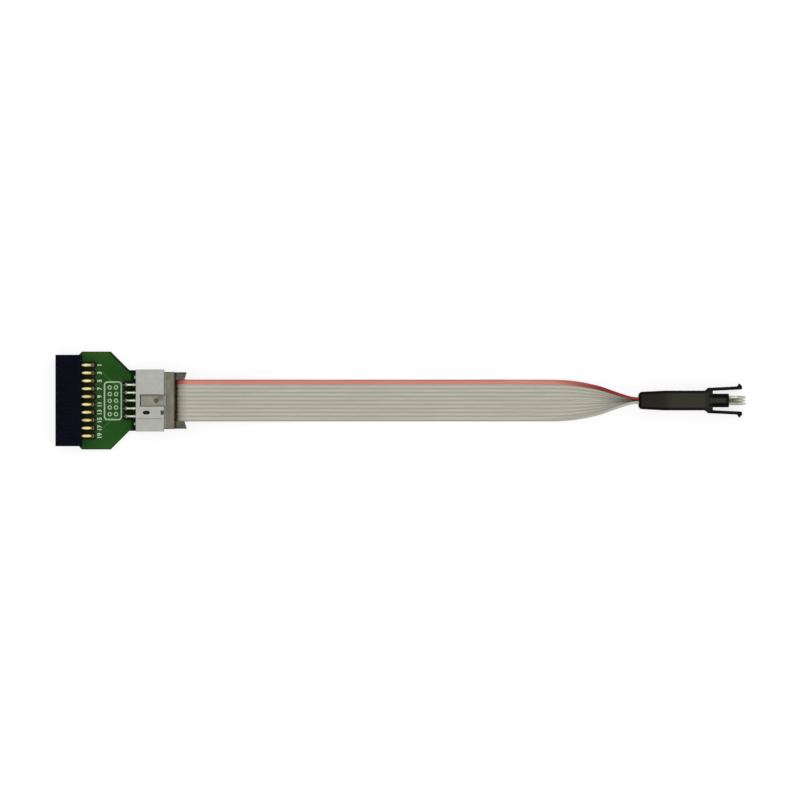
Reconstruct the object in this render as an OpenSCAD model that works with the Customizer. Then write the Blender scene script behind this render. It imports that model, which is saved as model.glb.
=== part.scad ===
// Debug needle adapter: a socket on a small board, a box header, a flat ribbon lead
// and a head of spring needles with guide pins and latch legs.
// +X runs from the socket to the needles and +Z is up. The origin is the middle of
// the outline, on the surface that the adapter lies on.

/* [Contacts] */
// Pitch of the socket's contacts and of the box header's pins
pin_pitch = 2.54; // [2.4:0.02:2.7]
// Width of a square contact pin
pin_w = 0.64; // [0.5:0.02:0.7]
// Inside radius of a pin's right-angle bend
pin_bend_r = 0.35; // [0.2:0.05:0.4]
// Length of a pin's tail below the board
tail_len = 1.5; // [1.2:0.1:3]
// Swelling of the socket's long tails on each side, above the board
tail_swell = 0.22; // [0:0.02:0.4]
// Thickness of a sprung contact leaf
leaf_t = 0.2; // [0.12:0.02:0.24]

/* [Board] */
// Thickness of the board
board_t = 1.6; // [0.8:0.1:2.4]
// Board beyond each end of the socket
board_side = 1.05; // [0.2:0.05:3]
// Length of the board's edge that is tucked under the socket
board_tuck = 0.9; // [0.4:0.1:1]
// Length of the board's wide part
board_straight = 10.1; // [8:0.1:20]
// Set-back of the narrow part from the sides of the box header
neck_inset = 0.2; // [0:0.01:1]
// Length of the narrow part ahead of the box header
neck_free = 2.3; // [2:0.05:6]
// Length of board under the box header
board_under = 7; // [4:0.1:8.5]
// Corner cut of the board
board_corner = 0.8; // [0.2:0.1:2]
// Diameter of a plated hole
hole_d = 1.04; // [1:0.02:1.2]
// Diameter of a solder joint's foot
solder_d = 1.7; // [1.3:0.1:2]
// Height of a solder joint below the board
solder_h = 0.85; // [0.4:0.05:1.1]

/* [Socket] */
// Depth of the socket from its mating face
socket_len = 8.5; // [7.5:0.1:12]
// Thickness of the socket
socket_h = 6.1; // [5.4:0.1:8]
// Plastic beyond the outer contacts of the socket
socket_end = 3.32; // [2:0.01:6]
// Width of a contact opening
socket_hole = 0.9; // [0.8:0.05:1]
// Widening of a contact opening at its mouth, on each side
socket_flare = 0.3; // [0.1:0.05:0.35]
// Depth of the shallow relief over each contact
relief_cut = 0.2; // [0.1:0.05:0.3]
// Width of the polarising key on the socket's underside
socket_key_w = 3.6; // [3:0.1:4.5]
// Length of that key from the mating face
socket_key_len = 6; // [3:0.1:6.2]
// Height of that key
socket_key_h = 1.1; // [0.6:0.05:1.5]

/* [Box header] */
// Depth of the box header along the lead
header_len = 9; // [8:0.1:12]
// Height of the box header
header_h = 8.9; // [8.4:0.1:11]
// Plastic beyond the outer pins of the box header
header_end = 4.92; // [4.6:0.01:7]
// Thickness of the wall at the ends of the cavity
header_end_wall = 1.05; // [0.8:0.01:1.5]
// Height of the cavity
cavity_h = 6.4; // [6:0.1:7]
// Thickness of the wall that carries the pins
header_back_wall = 1.4; // [1.2:0.1:3]
// Width of the key slot
key_slot_w = 3.9; // [3:0.1:5]
// Distance of the key slot from the header's back
key_slot_back = 1.3; // [0.8:0.1:2]
// Distance of the pins' tips behind the header's rim
pin_tip_back = 1; // [0.6:0.1:2]
// Length of the tapered tip of a header pin
pin_point = 0.5; // [0.2:0.05:0.8]

/* [Ribbon socket] */
// Gap between the cavity's floor and the ribbon socket's nose
nose_gap = 0.2; // [0.1:0.05:0.5]
// Clearance of the ribbon socket at each end of the cavity
idc_end_clear = 0.25; // [0.1:0.05:0.5]
// Clearance of the ribbon socket above and below in the cavity
idc_flat_clear = 0.15; // [0.1:0.05:0.3]
// Clearance between a header pin and a contact leaf
leaf_clear = 0.05; // [0.03:0.01:0.1]
// Thickness of the flange outside the header
flange_t = 0.6; // [0.4:0.05:1.2]
// Gap between the flange and the header's rim
flange_gap = 0.1; // [0.05:0.05:0.5]
// Reach of the flange past the ribbon socket's ends
flange_over = 0.2; // [0.1:0.05:0.6]
// Height of the key above the ribbon socket
key_h = 1.05; // [0.6:0.05:1.3]
// Clearance of the key in its slot, on each side
key_clear = 0.15; // [0.05:0.05:0.4]
// Thickness of the cover over the ribbon
cover_t = 1.7; // [1.4:0.1:2.4]
// Thickness of the cover's latch arms
cover_arm_t = 0.3; // [0.28:0.01:0.8]
// Height of the cover's latch arms
cover_arm_h = 3.4; // [2.4:0.1:4.5]
// Height of the cover's lip over the ribbon's cut end
cover_lip_h = 0.5; // [0.3:0.05:0.55]
// Thickness of the strain relief bar
relief_t = 2.25; // [2.1:0.05:4]
// Gap between the cover and the ribbon where the ribbon rises to the bar
relief_gap = 0.65; // [0.3:0.05:1.2]
// Drop from the bar's ears to its saddle for the ribbon
saddle_drop = 1.4; // [1:0.1:2]
// Height of the bar below its ears' top
relief_h = 5.6; // [4.5:0.1:6]
// Overhang of the bar's ears at their outer ends
ear_lean = 0.7; // [0:0.1:0.8]

/* [Lead] */
// Pitch of the ribbon's conductors and of the needles
fine_pitch = 1.27; // [1.2:0.01:1.35]
// Ribbon beyond its outer conductors' half pitch, on each side
ribbon_edge = 0.4; // [0:0.05:0.5]
// Thickness of the ribbon
ribbon_t = 0.9; // [0.7:0.05:1]
// Clearance on each face of the ribbon where it is clamped
ribbon_clear = 0.05; // [0.02:0.01:0.1]
// Length of lead between the strain relief and the needle head
lead_span = 145.7; // [120:0.1:300]

/* [Needle head] */
// Height of the needle head
head_h = 10.8; // [10.6:0.1:14]
// Width of the head's shell
shell_w = 6.4; // [6:0.1:9]
// Length of the head's shell
shell_len = 21.5; // [20:0.1:30]
// Height of the shell at its back
shell_back_h = 9.4; // [8.6:0.1:10.4]
// Width of the shell at its back
shell_back_w = 5.7; // [4.6:0.1:6]
// Length of the shell's taper
shell_taper = 8.5; // [4:0.1:12]
// Rounding of the shell's edges
shell_round = 1.3; // [0.4:0.1:1.3]
// Thickness of the wall at the shell's back
shell_wall = 1.8; // [1:0.1:3]
// Width of the collar that carries the legs
collar_w = 8.3; // [8.3:0.1:10]
// Length of the collar
collar_t = 2.4; // [2.2:0.1:4]
// Length of the slope at the back of the collar
collar_slope = 1.1; // [0.6:0.1:1.4]
// Rounding of the collar's edges
collar_round = 0.9; // [0.4:0.1:1]
// Width of the nose
nose_w = 4.4; // [4.2:0.1:4.6]
// Height of the nose
nose_h = 10.2; // [9.8:0.1:10.4]
// Height of the needle block's tenon, inside the collar and the shell
tenon_h = 9.4; // [9.3:0.05:9.6]
// Length of nose ahead of the collar
nose_len = 5.2; // [3:0.1:8]
// Length of the needle block, nose included
block_len = 13.2; // [12.6:0.1:14]
// Clearance between the needle block and what it sits in
block_clear = 0.03; // [0.01:0.01:0.05]

/* [Guide pins] */
// Length of a guide pin ahead of the nose
guide_len = 5.4; // [4:0.1:8]
// Diameter of a guide pin
guide_d = 0.95; // [0.86:0.01:1]
// Diameter of a guide pin's shank in the block
guide_shank_d = 0.6; // [0.4:0.02:0.64]
// Length of a guide pin's tapered end
guide_taper = 1.2; // [0.5:0.1:2]
// Diameter of a guide pin's tip
guide_tip_d = 0.5; // [0.2:0.05:0.6]
// Distance of the guide pins from the middle of the needles
guide_reach = 3.81; // [3.7:0.01:3.9]
// Spacing of the pair of guide pins
guide_pair = 2.032; // [1.9:0.002:2.1]

/* [Needles] */
// Outside diameter of a needle's barrel
barrel_d = 0.7; // [0.68:0.01:0.74]
// Bore of a needle's barrel
barrel_bore = 0.6; // [0.58:0.01:0.62]
// Bore of the lip at the barrel's mouth
lip_bore = 0.51; // [0.5:0.01:0.53]
// Length of the lip
lip_len = 0.35; // [0.2:0.05:0.6]
// Length of a barrel, its solder cup included
barrel_len = 13.8; // [13.2:0.1:16]
// Depth of the solder cup at the barrel's back
cup_depth = 1; // [0.6:0.1:1.5]
// Bore of the solder cup
cup_bore = 0.44; // [0.42:0.01:0.5]
// Radial clearance of a plunger in its barrel and lip
plunger_clear = 0.015; // [0.01:0.005:0.02]
// Length of a plunger's guided tail
tail_guide = 1.6; // [1:0.1:3]
// Reach of the guide pins past the needles' tips
tip_back = 1.7; // [0.5:0.1:2.5]
// Length of a needle's point
point_len = 0.45; // [0.2:0.05:0.8]
// Diameter of a spring's wire
spring_wire = 0.08; // [0.06:0.01:0.1]
// Diameter of a lead wire
wire_d = 0.38; // [0.3:0.01:0.4]

/* [Latch legs] */
// Thickness of a leg
leg_t = 1.06; // [0.8:0.02:1.3]
// Width of a leg
leg_w = 1.7; // [1.2:0.1:1.7]
// Distance of the legs' pivots from the middle plane
leg_pivot_y = 3.55; // [3.5:0.05:3.6]
// Distance of the legs' pivots behind the collar's front
leg_pivot_back = 1.1; // [1:0.05:1.3]
// Diameter of a leg's round root
knuckle_d = 0.8; // [0.6:0.02:0.84]
// Thickness of a leg's neck
leg_neck_t = 0.5; // [0.3:0.05:0.6]
// Running clearance of a leg's root
knuckle_clear = 0.03; // [0.02:0.01:0.06]
// Gap between the collar's front and the leg
leg_gap = 0.15; // [0.12:0.01:0.4]
// Outward lean of a leg in degrees
leg_lean = 2.35; // [0:0.05:4]
// Inward swing of a leg in degrees
leg_swing = 8; // [2:0.5:8]
// Reach of the guide pins past the legs
leg_back = 1.1; // [0.4:0.1:3]
// Length of a leg's barb
barb_len = 1.5; // [1:0.1:2.5]
// Height of a leg's barb
barb_h = 1; // [0.5:0.05:1.4]

/* [Hidden] */
$fn = 48;
// Small overlap for cuts that run out of a face
eps = 0.1;
// Clearance of a piece that is fixed in its seat
seat = 0.01;

SOCKET_COLUMNS = 10;
WAYS = 10;
COLUMNS = WAYS / 2;

// Widths that follow the contact grids
socket_w = (SOCKET_COLUMNS - 1) * pin_pitch + 2 * socket_end;
header_w = (COLUMNS - 1) * pin_pitch + 2 * header_end;
cavity_w = header_w - 2 * header_end_wall;
idc_w = cavity_w - 2 * idc_end_clear;
idc_h = cavity_h - 2 * idc_flat_clear;
flange_w = idc_w + 2 * flange_over;
cover_w = flange_w + 2 * (cover_arm_t + seat);
ribbon_w = WAYS * fine_pitch + 2 * ribbon_edge;
ribbon_slot = ribbon_t + 2 * ribbon_clear;
board_w = socket_w + 2 * board_side;
neck_w = header_w - 2 * neck_inset;

// Stations along X
adapter_len = socket_len - board_tuck + board_straight + (board_w - neck_w) / 2 + neck_free + header_len;
idc_len = flange_gap + flange_t + 2 * ribbon_slot + cover_t + relief_gap + relief_t;
head_len = shell_len + collar_t + nose_len + guide_len;
overall_len = adapter_len + idc_len + lead_span + head_len;
x_face = -overall_len / 2;
x_socket_back = x_face + socket_len;
x_board = x_socket_back - board_tuck;
x_taper = x_board + board_straight;
x_neck = x_taper + (board_w - neck_w) / 2;
x_header = x_neck + neck_free;
x_board_end = x_header + board_under;
x_floor = x_header + header_back_wall;
x_rim = x_header + header_len;
x_idc = x_floor + nose_gap;
x_flange = x_rim + flange_gap;
x_clamp = x_flange + flange_t;
x_cover = x_clamp + ribbon_slot;
x_cover_back = x_cover + cover_t;
x_ear = x_cover_back + relief_gap;
x_relief = x_ear + ribbon_slot;
x_relief_back = x_relief + relief_t;
x_shell = x_relief_back + lead_span;
x_collar = x_shell + shell_len;
x_nose = x_collar + collar_t;
x_nose_face = x_nose + nose_len;
x_tip = x_nose_face + guide_len;

// Heights
z_board = tail_len;
z_board_top = z_board + board_t;
z_socket = z_board_top + socket_h / 2;
z_header = z_board_top + header_h / 2;
z_idc_top = z_header + idc_h / 2;
z_idc_bottom = z_header - idc_h / 2;
z_head = head_h / 2;
row_z = [pin_pitch / 2, -pin_pitch / 2];

// Contact columns of the socket and of the box header, along Y
socket_y = [for (i = [0:SOCKET_COLUMNS - 1]) (i - (SOCKET_COLUMNS - 1) / 2) * pin_pitch];
header_y = [for (i = [0:COLUMNS - 1]) (i - (COLUMNS - 1) / 2) * pin_pitch];
// Board holes of the two rows: the upper row's pins reach one pitch further
pin_exit_gap = 0.09;
pin_exit = pin_bend_r + pin_w / 2 + pin_exit_gap;
socket_leg_x = [x_socket_back + pin_exit + pin_pitch, x_socket_back + pin_exit];
header_leg_x = [x_header - pin_exit - pin_pitch, x_header - pin_exit];

// Hollow of a solder joint's flank
solder_hollow = 0.1;

// Contact chambers of the socket
socket_front_wall = 1.6;
socket_back_wall = 1.5;
chamber_w = 1.2;
chamber_h = 1.7;
contact_w = 0.9;
contact_base = 0.5;
// Place of a contact's pinch, as a share of its leaves' length from the mouth
pinch_share = 0.25;

// Contact chambers of the ribbon socket, and the forks that bite the ribbon
idc_front_wall = 1;
idc_chamber_w = 1.2;
idc_chamber_h = 1.7;
fork_tine = 0.3;
fork_gap = 0.3;
fork_t = 0.3;
fork_reach = 0.5;
fork_clear = 0.1;
fork_w = 2 * fork_tine + fork_gap;
x_contact = x_rim - contact_base - seat;

// Round ejector mark on the ribbon socket's key
mark_d = 1.5;
mark_depth = 0.5;
mark_back = 3.15;

// Latch teeth of the ribbon socket, and their windows in the cover's arms
tooth_h = 1.4;
tooth_len = 0.35;
tooth_over = 0.25;
tooth_clear = 0.05;

// Clip arms between the strain relief and the cover
clip_w = 2;
clip_h = 2.4;
clip_depth = 0.7;
clip_rise = 2.2;
z_clip = z_idc_bottom + clip_rise;
saddle_clear = 0.04;
saddle_r = 1.3;

// Header details: oval window over a pocket in the ribbon socket, rim notch, moulding groove and back nubs
window_back = 2.2;
window_len = 2.3;
window_w = 1.25;
window_y = -3.9;
pocket_w = 1;
pocket_depth = 0.7;
notch_len = 1.05;
notch_w = 1.4;
groove_y = -5.85;
groove_w = 0.25;
groove_depth = 0.12;
groove_back = 0.6;
nub_y = 7.5;
nub_w = 0.9;
nub_len = 0.7;
nub_h = 2;
rim_flare = 0.3;

// Needle head cavities
ribbon_r = fine_pitch / 2;
ribbon_half = ribbon_w / 2;
shell_cavity_w = 3.4;
shell_cavity_h = 8.2;
entry_clear = 0.15;
wire_start = 11;

// Needle places, along Y and Z from the middle of the head
needle_z = [for (i = [0:COLUMNS - 1]) (i - (COLUMNS - 1) / 2) * fine_pitch];
needles = [for (s = [1, -1]) for (z = needle_z) [s * fine_pitch / 2, z]];
guides = [[guide_pair / 2, guide_reach], [-guide_pair / 2, guide_reach], [0, -guide_reach]];
leg_z = [guide_reach / 2, -guide_reach];
legs = [for (s = [1, -1]) for (z = leg_z) [s, z]];

// Needle stations along X
x_barrel = x_nose_face - barrel_len;
x_cup = x_barrel + cup_depth;
cup_floor = 0.3;
x_spring = x_cup + cup_floor;
x_lip = x_nose_face - lip_len;
x_tail = x_lip - tail_guide - seat;
x_needle = x_tip - tip_back;
x_block = x_nose_face - block_len;
spring_turns = 9;
spring_steps = 8;
spring_sides = 4;
spring_gap = 0.02;

// Leg stations along X, and how far a leg's root stands proud of the collar
leg_proud = 0.03;
// Shoulder of a barb as a share of its height, and the places of its first shoulder,
// its peak and its second shoulder as shares of its length
barb_shoulder = 0.4;
barb_rise = 0.2;
barb_peak = 0.4;
barb_fall = 0.8;
x_pivot = x_nose - leg_pivot_back;
x_leg_tip = x_tip - leg_back;

// Route of the ribbon's middle as [x, z, fold]. The first list is measured from the
// clamp's middle, the second from the back of the needle head. Fold is the turn of
// each half of the ribbon about its middle line, in degrees.
clamp_route = [
    [0, 10, 0], [0, 8, 0], [0, 5.25, 0], [0.22, 4.41, 0], [0.84, 3.8, 0],
    [1.68, 3.58, 0], [2.51, 3.8, 0], [3.13, 4.41, 0], [3.35, 5.25, 0], [3.35, 7.9, 0],
    [3.49, 8.59, 0], [3.88, 9.17, 0], [4.46, 9.56, 0], [5.15, 9.7, 0], [6.5, 9.7, 0],
    [9, 9.5, 0], [13, 8.8, 0], [18, 7.4, 0], [24, 5.4, 0], [30, 3.5, 0],
    [36, 2, 0], [42, 1.05, 0], [48, 0.6, 0], [54, 0.5, 0], [74, 0.5, 0], [94, 0.5, 0]
];
plug_route = [
    [-40, 0.5, 0], [-32, 0.5, 3], [-28, 0.55, 7], [-24, 0.7, 14], [-20, 1, 26],
    [-16, 1.4, 39], [-12, 1.8, 52], [-8, 2.15, 68], [-4, 2.45, 82], [-1, 2.6, 90], [11, 2.6, 90]
];
route = concat(
    [for (p = clamp_route) [x_clamp + ribbon_slot / 2 + p[0], p[1], p[2]]],
    [for (p = plug_route) [x_shell + p[0], p[1], p[2]]]
);
// Places across the ribbon that make its section
fold_half = ribbon_r * PI / 2;
ribbon_across = [-ribbon_half, -fold_half, -fold_half / 2, fold_half / 2, fold_half, ribbon_half];
// Radius of the fold's bottom where the fold is just starting
fold_open_r = 2.6;

PLUNGERS = [for (i = [1:WAYS]) str("probe_plunger_", i)];
SPRINGS = [for (i = [1:WAYS]) str("probe_spring_", i)];
LEGS = [for (i = [1:len(legs)]) str("latch_leg_", i)];

// Block between a low and a high corner
module span(low, high) {
    translate(low)
        cube(high - low);
}

// Outline drawn as (x, z), extruded along Y about the given place
module slab_y(y, width) {
    translate([0, y + width / 2, 0])
        rotate([90, 0, 0])
            linear_extrude(width)
                children();
}

// Solid of revolution about X through (y, z), from an outline drawn as (radius, x)
module turned_x(y, z) {
    translate([0, y, z])
        rotate([0, 90, 0])
            rotate_extrude()
                children();
}

// Rectangle with round corners about the origin
module rounded_rectangle(w, h, r) {
    square([w - 2 * r, h], center = true);
    square([w, h - 2 * r], center = true);
    for (sx = [-1, 1], sy = [-1, 1])
        translate([sx * (w / 2 - r), sy * (h / 2 - r)])
            circle(r);
}

// Bar along X with two round ends in height
module obround_bar(x0, x1, w, h) {
    for (s = [-1, 1])
        translate([x0, 0, z_head + s * (h - w) / 2])
            rotate([0, 90, 0])
                cylinder(h = x1 - x0, d = w);
    span([x0, -w / 2, z_head - (h - w) / 2], [x1, w / 2, z_head + (h - w) / 2]);
}

// Hole for the needle block's tenon
module tenon_hole(x0, x1) {
    obround_bar(x0, x1, nose_w + 2 * block_clear, tenon_h + 2 * block_clear);
}

// Rectangular mouth at (x, y, z): w by h inside, wider by flare at the face.
// The way in is along dir, 1 or -1, on X.
module mouth(x, y, z, w, h, flare, dir) {
    deep = x + dir * flare;
    out = x - dir * eps;
    intersection() {
        slab_y(y, w + 2 * (flare + eps))
            polygon([
                [deep, z - h / 2], [out, z - h / 2 - flare - eps],
                [out, z + h / 2 + flare + eps], [deep, z + h / 2]
            ]);
        translate([0, 0, z - h / 2 - flare - eps])
            linear_extrude(h + 2 * (flare + eps))
                polygon([
                    [deep, y - w / 2], [out, y - w / 2 - flare - eps],
                    [out, y + w / 2 + flare + eps], [deep, y + w / 2]
                ]);
    }
}

// Outline of a right-angle pin as (x, z), from its mating end down to its tail
module bent_pin_outline(x_mate, z_row, x_leg) {
    s = sign(x_leg - x_mate);
    r = pin_bend_r + pin_w / 2;
    x_bend = x_leg - s * r;
    translate([min(x_mate, x_bend), z_row - pin_w / 2])
        square([abs(x_bend - x_mate), pin_w]);
    translate([x_leg - pin_w / 2, 0])
        square([pin_w, z_row - r]);
    translate([x_bend, z_row - r])
        intersection() {
            difference() {
                circle(r + pin_w / 2);
                circle(r - pin_w / 2);
            }
            translate([s > 0 ? 0 : -2 * r, 0])
                square(2 * r);
        }
}

// Two sprung leaves on a base, as (x, z). The base starts at x_base, and the leaves
// reach back to x_mouth and hold the given gap open.
module tulip_outline(x_mouth, x_base, z_row, gap, base) {
    x_pinch = x_mouth + pinch_share * (x_base - x_mouth);
    root = gap / 2 + leaf_t / 2;
    translate([x_base, z_row - root - leaf_t])
        square([base, 2 * (root + leaf_t)]);
    for (s = [-1, 1])
        polygon([
            [x_base, z_row + s * root], [x_pinch, z_row + s * gap / 2],
            [x_mouth, z_row + s * root], [x_mouth, z_row + s * (root + leaf_t)],
            [x_pinch, z_row + s * (gap / 2 + leaf_t)], [x_base, z_row + s * (root + leaf_t)]
        ]);
}

module board_outline() {
    c = board_corner;
    half = [
        [x_board, board_w / 2 - c], [x_board + c, board_w / 2], [x_taper, board_w / 2],
        [x_neck, neck_w / 2], [x_board_end - c, neck_w / 2], [x_board_end, neck_w / 2 - c]
    ];
    other = [for (i = [len(half) - 1:-1:0]) [half[i][0], -half[i][1]]];
    polygon(concat(half, other));
}

// Places of every plated hole, as [x, y]
holes = concat(
    [for (x = socket_leg_x) for (y = socket_y) [x, y]],
    [for (x = header_leg_x) for (y = header_y) [x, y]]
);

module adapter_pcb() {
    color("darkgreen")
        difference() {
            translate([0, 0, z_board])
                linear_extrude(board_t)
                    board_outline();
            for (p = holes)
                translate([p[0], p[1], z_board - eps])
                    cylinder(h = board_t + 2 * eps, d = hole_d);
        }
}

// Solder fills each hole and stands as a cone below the board and a low rim above it
module solder_joints() {
    fill_r = hole_d / 2 - seat;
    foot_r = solder_d / 2;
    throat_r = (fill_r + pin_w * sqrt(2) / 2) / 2 + seat;
    rim_r = (foot_r + fill_r) / 2;
    rim_h = solder_h / 3;
    color("silver")
        for (p = holes)
            translate([p[0], p[1], 0])
                difference() {
                    rotate_extrude()
                        polygon([
                            [0, z_board - solder_h], [throat_r, z_board - solder_h],
                            [(throat_r + foot_r) / 2 - solder_hollow, z_board - solder_h / 3],
                            [foot_r, z_board], [fill_r, z_board], [fill_r, z_board_top],
                            [rim_r, z_board_top], [throat_r, z_board_top + rim_h],
                            [0, z_board_top + rim_h]
                        ]);
                    translate([0, 0, (z_board + z_board_top) / 2])
                        cube([pin_w + 2 * seat, pin_w + 2 * seat, 4 * z_board_top], center = true);
                }
}

module socket_housing() {
    x_chamber = x_face + socket_front_wall;
    x_chamber_end = x_socket_back - socket_back_wall;
    color([0.06, 0.06, 0.09])
        difference() {
            union() {
                span([x_face, -socket_w / 2, z_board_top],
                    [x_socket_back, socket_w / 2, z_board_top + socket_h]);
                span([x_face, -socket_key_w / 2, z_board_top - socket_key_h],
                    [x_face + socket_key_len, socket_key_w / 2, z_board_top + eps]);
            }
            for (y = socket_y) {
                for (dz = row_z) {
                    z = z_socket + dz;
                    mouth(x_face, y, z, socket_hole, socket_hole, socket_flare, 1);
                    span([x_face, y - socket_hole / 2, z - socket_hole / 2],
                        [x_chamber + eps, y + socket_hole / 2, z + socket_hole / 2]);
                    span([x_chamber, y - chamber_w / 2, z - chamber_h / 2],
                        [x_chamber_end, y + chamber_w / 2, z + chamber_h / 2]);
                    span([x_chamber_end - eps, y - pin_w / 2 - seat, z - pin_w / 2 - seat],
                        [x_socket_back + eps, y + pin_w / 2 + seat, z + pin_w / 2 + seat]);
                }
                span([x_chamber, y - chamber_w / 2, z_board_top + socket_h - relief_cut],
                    [x_chamber_end, y + chamber_w / 2, z_board_top + socket_h + eps]);
            }
        }
}

// Plan of a long tail's swelling between the socket's back and its bend, as (x, y)
module swell_plan() {
    steps = 12;
    x0 = x_socket_back + pin_exit_gap;
    x1 = socket_leg_x[0] + pin_w / 2;
    side = [
        for (i = [0:steps])
            [x0 + (x1 - x0) * i / steps, pin_w / 2 + tail_swell * sin(180 * i / steps)]
    ];
    polygon(concat(side, [for (i = [steps:-1:0]) [side[i][0], -side[i][1]]]));
}

// One row of the socket's contacts: sprung leaves inside, a bent pin to the board.
// The upper row's long tails swell above the board and have shoulders at their bends.
module socket_contacts(row) {
    z = z_socket + row_z[row];
    z_shoulder = z - pin_bend_r - pin_w / 2;
    x_base = x_socket_back - socket_back_wall - contact_base;
    color([0.85, 0.78, 0.45])
        for (y = socket_y) {
            slab_y(y, contact_w)
                tulip_outline(x_face + socket_front_wall + seat, x_base, z, pin_w - 2 * seat, contact_base);
            slab_y(y, pin_w)
                bent_pin_outline(x_base, z, socket_leg_x[row]);
            if (row == 0)
                intersection() {
                    slab_y(y, pin_w + 2 * tail_swell)
                        bent_pin_outline(x_base, z, socket_leg_x[row]);
                    translate([0, y, z_shoulder])
                        linear_extrude(2 * pin_w + pin_bend_r)
                            swell_plan();
                }
        }
}

// Oval of the header's window, w wide and upright between two heights
module oval_cut(w, z_from, z_to) {
    x_first = x_header + window_back + window_w / 2;
    x_last = x_header + window_back + window_len - window_w / 2;
    for (x = [x_first, x_last])
        translate([x, window_y, z_from])
            cylinder(h = z_to - z_from, d = w);
    span([x_first, window_y - w / 2, z_from], [x_last, window_y + w / 2, z_to]);
}

module header_shroud() {
    z_top = z_board_top + header_h;
    wall_z = (header_h - cavity_h) / 2;
    color([0.68, 0.68, 0.65])
        difference() {
            union() {
                span([x_header, -header_w / 2, z_board_top], [x_rim, header_w / 2, z_top]);
                for (s = [-1, 1])
                    span([x_header - nub_len, s * nub_y - nub_w / 2, z_board_top],
                        [x_header, s * nub_y + nub_w / 2, z_board_top + nub_h]);
            }
            span([x_floor, -cavity_w / 2, z_header - cavity_h / 2],
                [x_rim + eps, cavity_w / 2, z_header + cavity_h / 2]);
            mouth(x_rim, 0, z_header, cavity_w, cavity_h, rim_flare, -1);
            span([x_header + key_slot_back, -key_slot_w / 2, z_top - wall_z - eps],
                [x_rim + eps, key_slot_w / 2, z_top + eps]);
            oval_cut(window_w, z_header, z_top + eps);
            span([x_rim - notch_len, window_y - notch_w / 2, z_header],
                [x_rim + eps, window_y + notch_w / 2, z_top + eps]);
            span([x_header + groove_back, groove_y - groove_w / 2, z_top - groove_depth],
                [x_rim - groove_back, groove_y + groove_w / 2, z_top + eps]);
            for (y = header_y, dz = row_z)
                span([x_header - eps, y - pin_w / 2 - seat, z_header + dz - pin_w / 2 - seat],
                    [x_floor + eps, y + pin_w / 2 + seat, z_header + dz + pin_w / 2 + seat]);
        }
}

// One row of the header's pins: a tapered tip in the cavity, a bend down to the board
module header_pins(row) {
    z = z_header + row_z[row];
    x_tip_end = x_rim - pin_tip_back;
    color("gainsboro")
        for (y = header_y)
            slab_y(y, pin_w) {
                bent_pin_outline(x_tip_end - pin_point, z, header_leg_x[row]);
                polygon([
                    [x_tip_end - pin_point, z - pin_w / 2], [x_tip_end, z - pin_w / 4],
                    [x_tip_end, z + pin_w / 4], [x_tip_end - pin_point, z + pin_w / 2]
                ]);
            }
}

// Fork of a contact bites one conductor: the upper row's lie to +Y of their pins
function fork_y(y, row) = y + (row == 0 ? 1 : -1) * fine_pitch / 2;

module idc_housing() {
    x_chamber = x_idc + idc_front_wall;
    key_w = key_slot_w - 2 * key_clear;
    x_tooth = x_flange + (flange_t - tooth_len) / 2;
    color([0.45, 0.43, 0.38])
        difference() {
            union() {
                span([x_idc, -idc_w / 2, z_idc_bottom], [x_clamp, idc_w / 2, z_idc_top]);
                span([x_flange, -flange_w / 2, z_idc_bottom], [x_clamp, flange_w / 2, z_idc_top]);
                span([x_idc, -key_w / 2, z_idc_top - eps], [x_clamp, key_w / 2, z_idc_top + key_h]);
                for (s = [-1, 1])
                    span([x_tooth, s * flange_w / 2 - tooth_over, z_header - tooth_h / 2],
                        [x_tooth + tooth_len, s * flange_w / 2 + tooth_over, z_header + tooth_h / 2]);
            }
            translate([x_clamp - mark_back, 0, z_idc_top + key_h - mark_depth])
                cylinder(h = mark_depth + eps, d = mark_d);
            oval_cut(pocket_w, z_idc_top - pocket_depth, z_idc_top + eps);
            for (y = header_y, row = [0, 1]) {
                z = z_header + row_z[row];
                mouth(x_idc, y, z, socket_hole, socket_hole, socket_flare, 1);
                span([x_idc, y - socket_hole / 2, z - socket_hole / 2],
                    [x_chamber + eps, y + socket_hole / 2, z + socket_hole / 2]);
                span([x_chamber, y - idc_chamber_w / 2, z - idc_chamber_h / 2],
                    [x_rim, y + idc_chamber_w / 2, z + idc_chamber_h / 2]);
                span([x_contact - seat, fork_y(y, row) - fork_w / 2 - fork_clear, z - fork_t / 2 - seat],
                    [x_clamp + eps, fork_y(y, row) + fork_w / 2 + fork_clear, z + fork_t / 2 + seat]);
            }
        }
}

// Ribbon contacts: leaves around the header's pin, a base and a fork for a conductor
module idc_contacts() {
    x_mouth = x_idc + idc_front_wall + seat;
    x_root = x_rim + flange_gap / 2;
    x_tine = x_cover + fork_reach;
    color([0.8, 0.72, 0.42])
        for (y = header_y, row = [0, 1]) {
            z = z_header + row_z[row];
            f = fork_y(y, row);
            slab_y(y, contact_w)
                tulip_outline(x_mouth, x_contact, z, pin_w + 2 * leaf_clear, contact_base);
            translate([0, 0, z - fork_t / 2]) {
                linear_extrude(fork_t) {
                    translate([x_contact, min(y - contact_w / 2, f - fork_w / 2)])
                        square([contact_base, abs(f - y) + (contact_w + fork_w) / 2]);
                    translate([x_contact, f - fork_w / 2])
                        square([x_root - x_contact, fork_w]);
                    for (s = [-1, 1])
                        translate([x_contact, f + s * (fork_gap + fork_tine) / 2 - fork_tine / 2])
                            square([x_tine - x_contact, fork_tine]);
                }
            }
        }
}

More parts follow.
